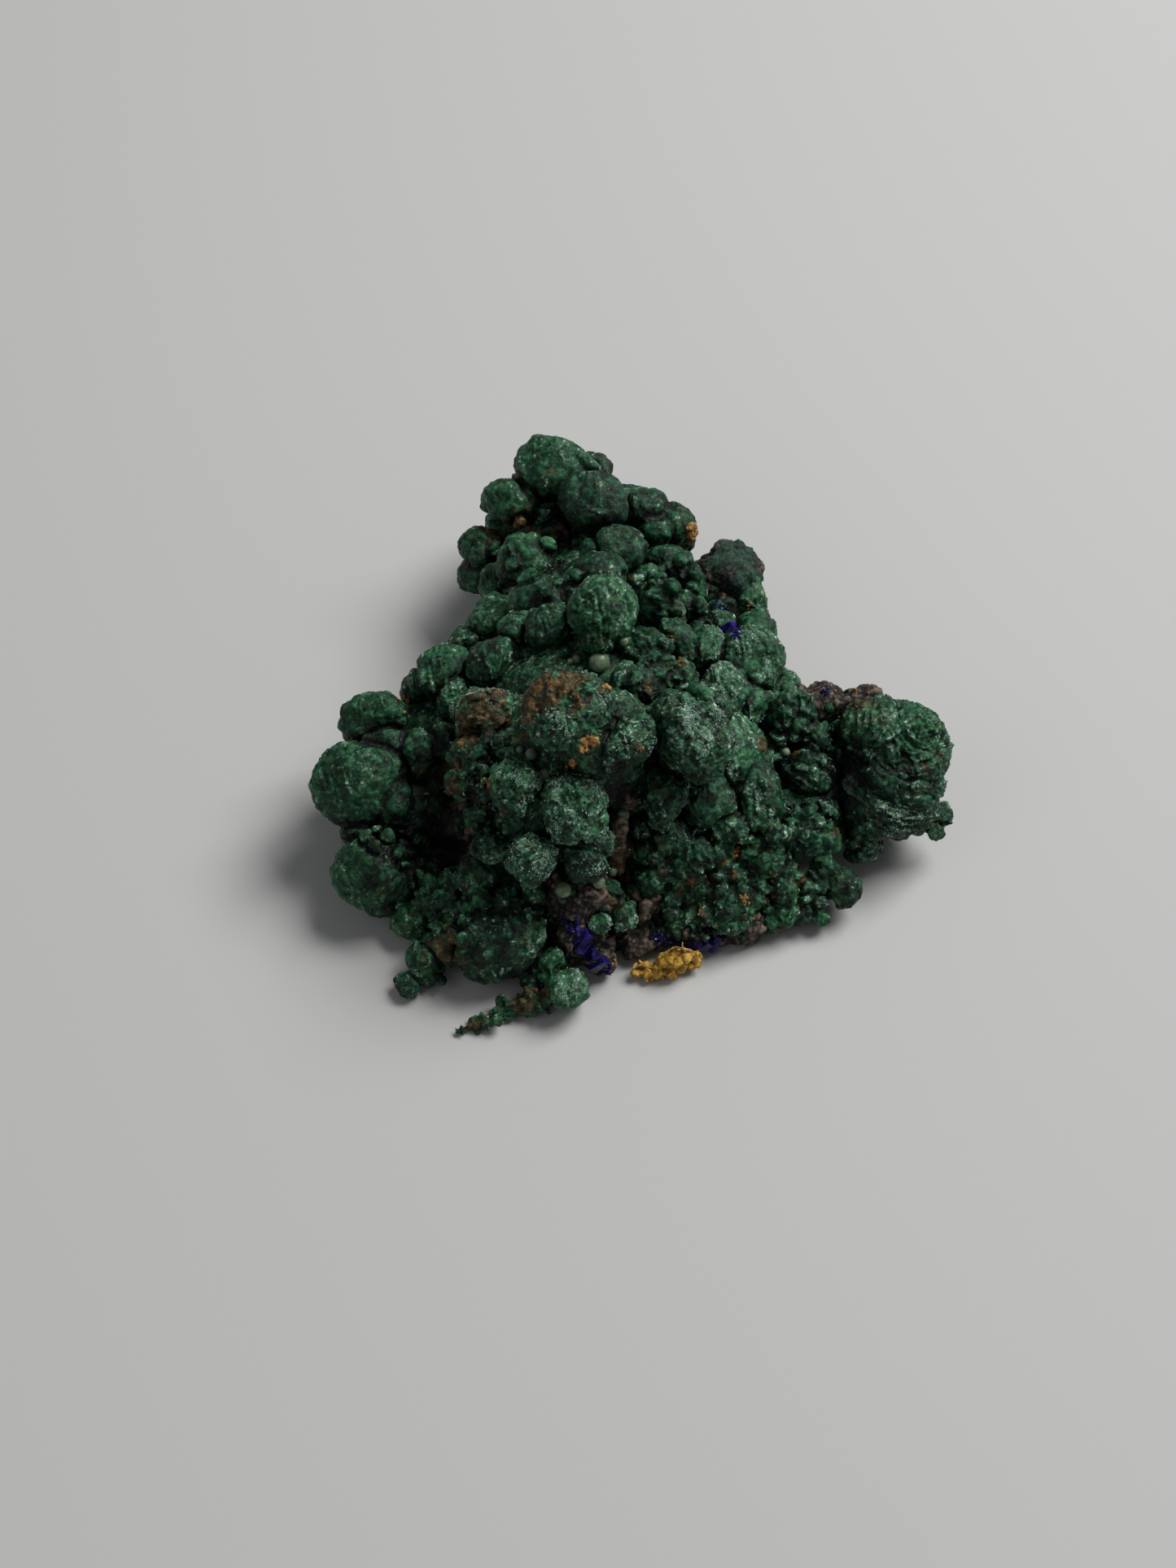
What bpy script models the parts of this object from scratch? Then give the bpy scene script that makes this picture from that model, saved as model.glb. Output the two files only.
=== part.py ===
"""Botryoidal malachite grown on a piece of iron-stained rock.

One mass of round green lumps sits on a brown rock, with a few dark blue azurite
crystals and a curled ochre crust at its front edge. Metres, +Z up, and the origin
is at the middle of the bounding box's bottom.
"""

import math

import bmesh
import bpy
import numpy as np
from mathutils import Matrix, Vector, noise

MM = 0.001

# How the specimen is seen: the eye looks along +Y and down at it.
VIEW_ELEVATION = math.radians(52)
VIEW_DISTANCE = 221.0 * MM
PIXELS_PER_M = 13.08 / MM
PICTURE_CENTRE = (722.5, 963.5)
AIM_HEIGHT = 12.0 * MM

# Where the bounding box's bottom centre lies below the aim point.
ORIGIN = Vector((4.6, 11.5, 0.0)) * MM

# Surface sizes of the solids.
GAP = 0.35 * MM
MALACHITE_GRAIN = 0.55 * MM
MALACHITE_FACES = 5700
MATRIX_GRAIN = 0.8 * MM
MATRIX_FACES = 1150
OCHRE_GRAIN = 0.25 * MM
OCHRE_FACES = 260

# Malachite lumps. Each is (across, down, height, radius): the pixel that its middle
# shows at in the picture, then millimetres.
LUMPS = {
    "crown": (
        (690, 880, 22.0, 4.0), (710, 853, 22.0, 2.9), (722, 888, 22.4, 4.1),
        (758, 908, 21.5, 3.6), (778, 915, 21.0, 2.2), (700, 925, 20.0, 2.6),
    ),
    "shoulder": (
        (848, 902, 18.5, 4.3), (872, 918, 17.5, 3.0), (825, 952, 15.0, 2.9),
        (820, 992, 13.0, 2.1), (870, 868, 16.5, 2.0), (822, 885, 17.5, 2.4),
    ),
    "knob": (
        (741, 752, 21.0, 3.1), (735, 785, 20.0, 2.3), (762, 776, 20.0, 1.4),
        (676, 776, 18.0, 2.4), (638, 780, 16.0, 2.1), (612, 815, 15.0, 2.8),
        (645, 812, 15.5, 1.5), (600, 768, 13.0, 1.8), (572, 792, 11.5, 1.8),
        (545, 832, 12.0, 3.5), (516, 846, 10.5, 2.1), (560, 858, 12.0, 2.2),
    ),
    "neck": (
        (795, 802, 17.5, 2.3), (790, 842, 17.0, 2.2), (832, 838, 16.0, 2.2),
        (832, 792, 15.5, 2.2), (866, 802, 14.0, 2.3), (770, 838, 18.5, 1.7),
        (912, 812, 12.0, 3.3), (890, 848, 13.0, 2.8), (935, 842, 10.5, 2.6),
        (960, 838, 9.0, 1.8), (918, 868, 11.0, 2.6),
    ),
    "peak": (
        (672, 582, 16.0, 3.7), (711, 592, 15.5, 3.0), (742, 617, 15.0, 3.0),
        (630, 619, 14.0, 3.0), (606, 613, 12.5, 1.7), (793, 632, 12.0, 2.5),
        (821, 648, 11.0, 2.6), (594, 676, 10.0, 2.4), (592, 706, 8.0, 2.5),
        (648, 695, 13.5, 3.0), (618, 718, 10.0, 2.4), (757, 674, 16.0, 3.4),
        (664, 742, 16.5, 2.9), (736, 708, 18.0, 2.6), (690, 655, 12.0, 2.2),
        (700, 735, 16.5, 2.2), (612, 752, 11.5, 2.0),
    ),
    "back_right": (
        (820, 698, 12.0, 2.4), (850, 722, 12.0, 1.8), (845, 748, 12.5, 1.8),
        (812, 745, 14.0, 2.3), (880, 768, 11.5, 1.7), (928, 778, 8.0, 2.2),
        (938, 798, 8.0, 1.9), (916, 736, 8.0, 2.2), (790, 715, 14.0, 1.8),
    ),
    "right_arm": (
        (975, 882, 11.0, 2.7), (1000, 905, 10.5, 1.8), (992, 952, 9.0, 2.8),
        (928, 975, 9.5, 3.4), (940, 1012, 8.5, 2.6), (872, 985, 11.0, 2.9),
        (896, 1015, 9.5, 2.1), (1012, 994, 7.5, 1.5), (985, 1016, 7.5, 2.1),
        (1010, 1030, 6.5, 1.8), (950, 925, 9.5, 1.6), (900, 955, 11.0, 2.2),
    ),
    "right_knob": (
        (1092, 925, 10.5, 4.7), (1118, 940, 9.8, 4.3), (1100, 985, 7.6, 3.3),
        (1054, 962, 8.5, 2.7), (1065, 898, 11.0, 2.8), (1114, 898, 10.0, 2.8),
        (1135, 985, 7.0, 2.5), (1070, 995, 7.0, 2.3), (1060, 1034, 4.6, 1.9),
        (1157, 1002, 5.2, 1.2), (1150, 1020, 4.4, 0.9), (1030, 930, 9.0, 1.7),
    ),
    "slope": (
        (830, 1030, 9.5, 1.89), (800, 1048, 8.5, 1.63), (850, 1058, 8.0, 1.81),
        (884, 1050, 7.5, 1.81), (912, 1040, 7.5, 1.72), (940, 1050, 6.5, 1.89),
        (965, 1062, 5.5, 1.63), (925, 1082, 5.0, 1.72), (886, 1085, 5.5, 1.72),
        (830, 1078, 6.5, 1.72), (796, 1078, 6.5, 1.38), (786, 1098, 5.5, 1.29),
        (850, 1100, 4.6, 1.63), (905, 1110, 4.0, 1.98), (880, 1125, 3.4, 1.63),
        (848, 1130, 3.0, 1.46), (822, 1130, 3.2, 1.29), (950, 1095, 3.8, 1.55),
        (975, 1108, 2.8, 1.29), (995, 1090, 3.8, 1.38), (1003, 1108, 2.6, 1.03),
        (1030, 1090, 3.2, 1.63), (1012, 1065, 4.8, 1.46), (925, 1130, 2.2, 1.38),
        (820, 1108, 4.4, 1.29), (792, 1020, 9.8, 1.38), (780, 988, 11.0, 1.2),
        (957, 1122, 2.4, 1.38), (984, 1124, 2.0, 1.2), (1006, 1126, 1.7, 0.95),
    ),
    "front": (
        (585, 930, 15.5, 2.8), (574, 962, 14.5, 2.2), (598, 988, 14.0, 1.6),
        (634, 964, 17.0, 3.2), (707, 984, 16.8, 3.2), (668, 1000, 15.5, 2.0),
        (586, 1006, 12.6, 1.8), (601, 1035, 11.4, 1.9), (652, 1048, 13.0, 2.8),
        (714, 1052, 12.6, 2.5), (684, 1040, 12.6, 1.6), (602, 880, 17.0, 3.1),
        (582, 872, 15.5, 2.2), (625, 915, 17.0, 2.0), (728, 1030, 13.8, 1.8),
        (690, 950, 16.5, 2.2),
    ),
    "left_lobes": (
        (438, 956, 9.5, 4.2), (455, 880, 11.5, 2.7), (487, 875, 11.5, 1.3),
        (519, 925, 10.5, 2.7), (545, 910, 11.5, 1.7), (472, 925, 10.0, 2.6),
        (482, 985, 8.5, 2.6), (458, 1060, 6.0, 3.5), (492, 1080, 5.0, 2.8),
        (468, 1100, 3.8, 2.6), (500, 1030, 6.0, 1.7), (443, 1016, 7.5, 1.9),
    ),
    "foot": (
        (585, 1082, 8.0, 2.2), (596, 1150, 4.6, 3.4), (644, 1146, 5.6, 2.7),
        (556, 1160, 3.2, 2.4), (524, 1186, 2.0, 1.9), (500, 1206, 1.3, 1.2), (548, 1112, 4.6, 2.2),
        (620, 1112, 6.8, 1.9), (655, 1104, 7.6, 1.2), (612, 1180, 3.0, 2.2),
        (700, 1216, 2.4, 2.2), (680, 1184, 3.2, 1.5), (640, 1236, 1.3, 1.2),
        (612, 1248, 1.0, 1.0), (586, 1258, 0.9, 0.9), (565, 1270, 0.7, 0.7),
        (664, 1228, 1.6, 1.3), (735, 1134, 6.0, 1.1), (765, 1127, 5.8, 1.5),
        (750, 1096, 7.4, 1.1), (560, 1085, 6.2, 1.8),
    ),
    "beads": (
        (735, 815, 19.6, 1.1), (652, 926, 19.0, 0.75), (668, 950, 18.7, 0.75),
    ),
}

# Lumps on the sides that the picture doesn't show: x, y, z and radius in millimetres
# from the aim point's foot.
HIDDEN_LUMPS = (
    (-5.0, 41.0, 9.0, 3.2), (0.0, 41.2, 8.5, 3.0), (4.2, 38.5, 8.5, 3.0), (-8.0, 37.5, 7.5, 2.8),
    (-3.0, 41.0, 4.4, 3.0), (2.5, 39.5, 4.2, 2.8), (7.6, 35.0, 6.0, 2.7), (-9.0, 33.0, 4.6, 2.8),
    (7.5, 32.5, 3.4, 2.8), (12.0, 24.5, 4.2, 2.6), (15.5, 19.5, 4.6, 2.8), (17.5, 14.5, 5.0, 2.8),
    (20.5, 10.5, 5.5, 2.7), (27.0, 9.5, 7.4, 2.9), (30.5, 7.5, 6.0, 2.8), (24.0, 10.0, 3.6, 2.6),
    (31.0, 4.0, 4.4, 2.4), (-10.2, 26.5, 4.4, 2.7), (-11.6, 19.8, 5.2, 2.9), (-15.0, 15.5, 6.8, 3.0),
    (-17.5, 12.0, 5.6, 2.8), (-13.5, 18.0, 3.2, 2.6), (-20.5, 8.5, 5.4, 2.8), (-23.0, 4.5, 4.6, 2.3),
    (-21.5, -1.0, 3.4, 2.1), (-16.5, -8.8, 2.2, 2.1), (12.0, 18.5, 10.0, 2.6), (17.0, 11.5, 9.0, 2.6),
    (7.0, 21.5, 13.0, 2.6), (-8.0, 19.5, 13.0, 2.5), (-1.0, 37.0, 8.0, 3.4))

# What fills the mass behind the lumps: middle, then radii, in millimetres.
FILL = (
    ((-1.0, 2.0, 14.5), (8.0, 6.0, 7.0)), ((-4.5, -2.0, 11.0), (6.5, 5.0, 5.0)),
    ((0.0, 10.5, 11.0), (10.5, 8.0, 6.5)), ((-1.0, 24.0, 8.5), (8.5, 8.0, 6.0)),
    ((-1.0, 34.0, 8.5), (6.5, 5.5, 5.0)), ((10.0, 5.5, 8.5), (8.0, 7.0, 5.5)),
    ((11.0, -0.5, 5.0), (10.0, 6.0, 4.2)), ((13.0, 12.0, 6.5), (6.5, 7.5, 4.4)),
    ((19.0, 3.0, 5.5), (6.5, 5.0, 3.4)), ((27.5, 4.0, 6.5), (4.6, 4.4, 3.2)),
    ((-13.0, 9.5, 6.5), (7.0, 5.5, 4.5)), ((-18.5, 3.0, 5.0), (4.5, 6.5, 4.0)),
    ((-18.0, -4.0, 3.0), (4.0, 4.5, 2.4)), ((-9.0, -8.5, 3.4), (5.5, 5.0, 3.2)),
    ((9.5, 20.0, 6.0), (6.0, 6.5, 4.2)), ((-9.5, 16.5, 5.5), (5.5, 7.0, 4.2)),
    ((16.5, 10.0, 5.0), (5.0, 5.5, 3.4)),
)

# The rock under the lumps: middle, then radii, in millimetres.
BASE = (
    ((1.0, 6.0, 2.4), (15.5, 13.5, 4.2)), ((0.0, 25.0, 2.6), (9.5, 11.5, 4.0)),
    ((22.0, 4.0, 2.4), (7.5, 4.5, 2.8)), ((-14.5, 3.0, 1.8), (6.5, 6.5, 2.6)),
    ((-9.5, -8.0, 1.4), (6.0, 5.0, 2.0)), ((9.0, -7.0, 1.4), (8.0, 3.6, 2.2)),
)

# Where the rock shows: the pixel and height of each outcrop's middle, then its radii.
OUTCROPS = (
    ((712, 1098, 6.2), (3.1, 3.0, 4.6)), ((706, 1150, 3.0), (2.9, 2.6, 3.4)),
    ((734, 1176, 1.6), (2.2, 1.7, 2.0)), ((758, 1035, 9.0), (1.6, 2.6, 3.4)),
    ((764, 966, 13.4), (1.6, 2.6, 3.0)), ((895, 712, 8.5), (3.2, 3.2, 3.8)),
    ((880, 748, 5.4), (4.4, 5.0, 4.4)), ((1016, 862, 11.0), (3.3, 1.8, 1.9)),
    ((1048, 872, 8.6), (3.6, 3.0, 2.6)), ((1000, 900, 6.0), (5.0, 4.0, 4.0)),
    ((850, 1148, 1.6), (3.6, 1.9, 1.9)), ((902, 1143, 1.4), (3.6, 1.7, 1.7)),
    ((812, 1150, 1.5), (1.9, 1.6, 1.7)), ((952, 1135, 1.1), (2.6, 1.4, 1.3)),
    ((942, 880, 7.0), (3.0, 3.0, 3.4)), ((762, 1000, 12.5), (0.85, 0.85, 0.85)),
    ((691, 1095, 8.7), (0.9, 0.9, 0.9)), ((737, 1084, 8.7), (0.8, 0.8, 0.8)),
)

# Azurite: the pixel and height of each crystal's middle, its length and its width.
AZURITE = {
    "azurite_front": (
        (702, 1140, 5.7, 2.0, 1.4), (710, 1149, 5.3, 2.1, 1.5), (718, 1158, 4.9, 1.9, 1.4),
        (708, 1158, 4.5, 1.6, 1.2),
    ),
    "azurite_foot": (
        (729, 1174, 3.5, 1.8, 1.4), (737, 1184, 2.8, 1.8, 1.4),
    ),
    "azurite_edge_left": (
        (807, 1152, 1.7, 1.9, 1.4), (818, 1157, 1.4, 1.8, 1.3), (813, 1146, 2.0, 1.6, 1.2),
    ),
    "azurite_edge_right": (
        (854, 1160, 1.2, 1.9, 1.4), (866, 1161, 1.2, 1.8, 1.4), (878, 1159, 1.3, 1.7, 1.2),
    ),
    "azurite_neck": (
        (902, 777, 14.0, 1.9, 1.4), (894, 771, 13.4, 1.7, 1.2),
    ),
}

# The curled ochre crust at the front edge: pixel, height and radius of each bead of it.
OCHRE = (
    (780, 1186, 0.9, 0.85), (790, 1190, 0.8, 0.8), (800, 1180, 1.5, 0.7), (806, 1192, 0.7, 0.75),
    (815, 1176, 1.9, 0.7), (818, 1188, 1.1, 0.8), (829, 1172, 1.9, 0.7), (832, 1183, 1.1, 0.8),
    (842, 1170, 1.6, 0.7), (846, 1177, 1.0, 0.7), (855, 1168, 1.3, 0.55), (795, 1186, 1.2, 0.7),
)

PALETTE = {
    "malachite": ((0.014, 0.105, 0.058, 1.0), 0.75),
    "matrix": ((0.060, 0.038, 0.026, 1.0), 0.9),
    "azurite": ((0.012, 0.010, 0.200, 1.0), 0.25),
    "ochre": ((0.480, 0.240, 0.035, 1.0), 0.85),
}


def clear_scene():
    for found in list(bpy.data.objects):
        bpy.data.objects.remove(found)


def collection_named(name):
    made = bpy.data.collections.new(name)
    bpy.context.scene.collection.children.link(made)
    return made


def material_for(node, mineral):
    colour, roughness = PALETTE[mineral]
    made = bpy.data.materials.new(node)
    made.use_nodes = True
    shader = made.node_tree.nodes["Principled BSDF"]
    shader.inputs["Base Color"].default_value = colour
    shader.inputs["Roughness"].default_value = roughness
    return made


def seen_at(across, down, height_mm):
    """The point at this height that shows at a pixel of the picture."""
    sine, cosine = math.sin(VIEW_ELEVATION), math.cos(VIEW_ELEVATION)
    forward = Vector((0.0, cosine, -sine))
    upward = Vector((0.0, sine, cosine))
    aim = Vector((0.0, 0.0, AIM_HEIGHT))
    eye = aim - forward * VIEW_DISTANCE
    right = (across - PICTURE_CENTRE[0]) / PIXELS_PER_M
    raised = (PICTURE_CENTRE[1] - down) / PIXELS_PER_M
    ray = aim + Vector((right, 0.0, 0.0)) + upward * raised - eye
    return eye + ray * ((height_mm * MM - eye.z) / ray.z)


def add_ball(mesh, middle, radii, detail=3, roughness=0.06, seed=0.0):
    """Adds a ball to a bmesh, drawn out to three radii and made a little uneven."""
    made = bmesh.ops.create_icosphere(mesh, subdivisions=detail, radius=1.0)
    for vertex in made["verts"]:
        bump = noise.noise(vertex.co * 1.7 + Vector((seed, 0.0, 0.0)))
        stretched = Vector(c * r for c, r in zip(vertex.co, radii))
        vertex.co = middle + stretched * (1.0 + roughness * bump)


def object_from(mesh, name, collection, material=None):
    data = bpy.data.meshes.new(name)
    mesh.to_mesh(data)
    mesh.free()
    made = bpy.data.objects.new(name, data)
    collection.objects.link(made)
    if material:
        data.materials.append(material)
    return made


def one_skin(target, grain):
    """Joins overlapping balls into one skin, with no loose ball and no sealed hollow."""
    modifier = target.modifiers.new("one_skin", "REMESH")
    modifier.mode = "VOXEL"
    modifier.voxel_size = grain
    apply_modifiers(target)
    keep_largest(target)


def boolean(target, operation, tool):
    modifier = target.modifiers.new(operation.lower(), "BOOLEAN")
    modifier.operation = operation
    modifier.solver = "EXACT"
    modifier.object = tool


def apply_modifiers(target):
    """Replaces the object's mesh with what its modifiers make of it."""
    graph = bpy.context.evaluated_depsgraph_get()
    made = bpy.data.meshes.new_from_object(target.evaluated_get(graph))
    target.modifiers.clear()
    target.data = made


def reduce_faces(target, most):
    """Collapses edges until about that many triangles are left."""
    triangles = sum(len(face.vertices) - 2 for face in target.data.polygons)
    modifier = target.modifiers.new("fewer_faces", "DECIMATE")
    modifier.ratio = min(1.0, most / triangles)
    modifier.use_collapse_triangulate = True
    apply_modifiers(target)


def islands_of(mesh):
    """The groups of faces of a bmesh that hang together."""
    left = set(mesh.faces)
    while left:
        group, edge = [], [left.pop()]
        while edge:
            face = edge.pop()
            group.append(face)
            near = {f for e in face.edges for f in e.link_faces} & left
            left -= near
            edge.extend(near)
        yield group


def keep_largest(target):
    """Drops the crumbs that a cut leaves loose."""
    mesh = bmesh.new()
    mesh.from_mesh(target.data)
    groups = sorted(islands_of(mesh), key=len)
    for crumb in groups[:-1]:
        bmesh.ops.delete(mesh, geom=crumb, context="FACES")
    bmesh.ops.triangulate(mesh, faces=mesh.faces[:])
    mesh.to_mesh(target.data)
    mesh.free()


def floor_block(tools):
    """A block below the ground, which cuts the underside flat."""
    mesh = bmesh.new()
    bmesh.ops.create_cube(mesh, size=1.0)
    size = Matrix.Diagonal((200 * MM, 200 * MM, 40 * MM, 1.0))
    bmesh.ops.transform(mesh, verts=mesh.verts, matrix=Matrix.Translation((0, 0, -20 * MM)) @ size)
    return object_from(mesh, "ground", tools)


def grown(source, by, tools):
    """A copy of a solid, fatter by that much on every side."""
    made = bpy.data.objects.new(source.name + "_grown", source.data.copy())
    tools.objects.link(made)
    modifier = made.modifiers.new("grow", "DISPLACE")
    modifier.strength = by
    modifier.mid_level = 0.0
    apply_modifiers(made)
    return made


def make_azurite(parts, tools):
    """Each group of crystals as one solid, and the pockets that they sit in."""
    pockets = []
    for group, crystals in AZURITE.items():
        for extra, collection in ((0.0, parts), (GAP, tools)):
            name = group if collection is parts else group + "_pocket"
            pieces = []
            for number, (across, down, height, length, width) in enumerate(crystals):
                mesh = bmesh.new()
                bmesh.ops.create_cone(
                    mesh, cap_ends=True, segments=6, depth=length * MM + 2 * extra,
                    radius1=width * MM / 2 + extra, radius2=width * MM / 3 + extra,
                )
                lean = Matrix.Rotation(0.5 + 0.9 * number, 4, "Z") @ Matrix.Rotation(0.7, 4, "X")
                place = Matrix.Translation(seen_at(across, down, height)) @ lean
                bmesh.ops.transform(mesh, verts=mesh.verts, matrix=place)
                piece = object_from(mesh, f"{name}_{number}", tools)
                pieces.append(piece)
            whole = bpy.data.objects.new(name, pieces[0].data.copy())
            collection.objects.link(whole)
            for piece in pieces[1:]:
                boolean(whole, "UNION", piece)
            apply_modifiers(whole)
            if collection is parts:
                whole.data.materials.append(material_for(group, "azurite"))
            else:
                pockets.append(whole)
    return pockets


def make_matrix(parts, tools, ground, pockets):
    mesh = bmesh.new()
    places = [(Vector(middle) * MM, radii) for middle, radii in BASE]
    places += [(seen_at(*place), radii) for place, radii in OUTCROPS]
    for number, (middle, radii) in enumerate(places):
        add_ball(mesh, middle, Vector(radii) * MM, roughness=0.16, seed=number * 3.1)
    rock = object_from(mesh, "matrix", parts, material_for("matrix", "matrix"))
    one_skin(rock, MATRIX_GRAIN)
    reduce_faces(rock, MATRIX_FACES)
    rock_room = grown(rock, GAP, tools)
    for cutter in [ground] + pockets:
        boolean(rock, "DIFFERENCE", cutter)
    apply_modifiers(rock)
    keep_largest(rock)
    return rock, rock_room


def make_ochre(parts, ground, rock_room):
    mesh = bmesh.new()
    for number, (across, down, height, radius) in enumerate(OCHRE):
        add_ball(mesh, seen_at(across, down, height), Vector((radius,) * 3) * MM, seed=number * 2.3)
    crust = object_from(mesh, "ochre_crust", parts, material_for("ochre_crust", "ochre"))
    one_skin(crust, OCHRE_GRAIN)
    reduce_faces(crust, OCHRE_FACES)
    for cutter in (rock_room, ground):
        boolean(crust, "DIFFERENCE", cutter)
    apply_modifiers(crust)
    keep_largest(crust)
    return crust


def make_malachite(parts, ground, cutters):
    mesh = bmesh.new()
    places = [(seen_at(*lump[:3]), lump[3]) for group in LUMPS.values() for lump in group]
    places += [(Vector(lump[:3]) * MM, lump[3]) for lump in HIDDEN_LUMPS]
    for number, (middle, radius) in enumerate(places):
        add_ball(mesh, middle, Vector((radius,) * 3) * MM, seed=number * 1.3)
    for middle, radii in FILL:
        add_ball(mesh, Vector(middle) * MM, Vector(radii) * MM)
    mass = object_from(mesh, "malachite", parts, material_for("malachite", "malachite"))
    one_skin(mass, MALACHITE_GRAIN)
    reduce_faces(mass, MALACHITE_FACES)
    for cutter in cutters + [ground]:
        boolean(mass, "DIFFERENCE", cutter)
    apply_modifiers(mass)
    keep_largest(mass)
    return mass


def main():
    clear_scene()
    parts = collection_named("malachite_specimen")
    tools = collection_named("cutters")
    ground = floor_block(tools)
    pockets = make_azurite(parts, tools)
    rock, rock_room = make_matrix(parts, tools, ground, pockets)
    crust = make_ochre(parts, ground, rock_room)
    crust_room = grown(crust, GAP, tools)
    make_malachite(parts, ground, [rock_room, crust_room] + pockets)
    for tool in tools.objects:
        tool.hide_render = True
        tool.display_type = "WIRE"
    for made in parts.objects:
        made.location = -ORIGIN


if __name__ == "__main__":
    main()
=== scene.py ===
"""Looks of the botryoidal malachite specimen: druzy green lumps, rock, azurite and ochre.

Sizes are in metres. Every lump is a ball worked out from turn and tilt, or a pillow worked
out from its outline. The lumps of one part of the cluster are joined into one skin, and the
skin is then raised by noise.
"""

import math

import bpy
import numpy as np
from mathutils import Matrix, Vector
from mathutils.bvhtree import BVHTree


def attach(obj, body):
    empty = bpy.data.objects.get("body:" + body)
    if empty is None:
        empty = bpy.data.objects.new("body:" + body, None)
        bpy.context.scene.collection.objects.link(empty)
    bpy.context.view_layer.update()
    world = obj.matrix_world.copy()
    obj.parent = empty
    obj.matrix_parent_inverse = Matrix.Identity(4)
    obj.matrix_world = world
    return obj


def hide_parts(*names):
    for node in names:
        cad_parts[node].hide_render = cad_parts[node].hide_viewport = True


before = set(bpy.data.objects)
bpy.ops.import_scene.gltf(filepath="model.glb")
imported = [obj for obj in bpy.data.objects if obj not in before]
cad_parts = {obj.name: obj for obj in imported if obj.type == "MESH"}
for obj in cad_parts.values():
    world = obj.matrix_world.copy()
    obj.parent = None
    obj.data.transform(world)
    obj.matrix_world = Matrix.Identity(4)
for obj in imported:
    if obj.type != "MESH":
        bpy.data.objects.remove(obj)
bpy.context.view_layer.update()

MM = 0.001

# How the specimen is seen, and where its origin lies under the aim point.
VIEW_TILT = math.radians(52)
EYE_DISTANCE = 221 * MM
PIXELS_PER_METRE = 13.08 / MM
PICTURE_CENTRE = (722.5, 963.5)
PICTURE_HEIGHT = 1927
AIM_HEIGHT = 12 * MM
ORIGIN = np.array((4.6, 11.5, 0.0)) * MM

FORWARD = np.array((0, math.cos(VIEW_TILT), -math.sin(VIEW_TILT)))
UPWARD = np.array((0, math.sin(VIEW_TILT), math.cos(VIEW_TILT)))
EYE = np.array((0, 0, AIM_HEIGHT)) - FORWARD * EYE_DISTANCE - ORIGIN

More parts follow.
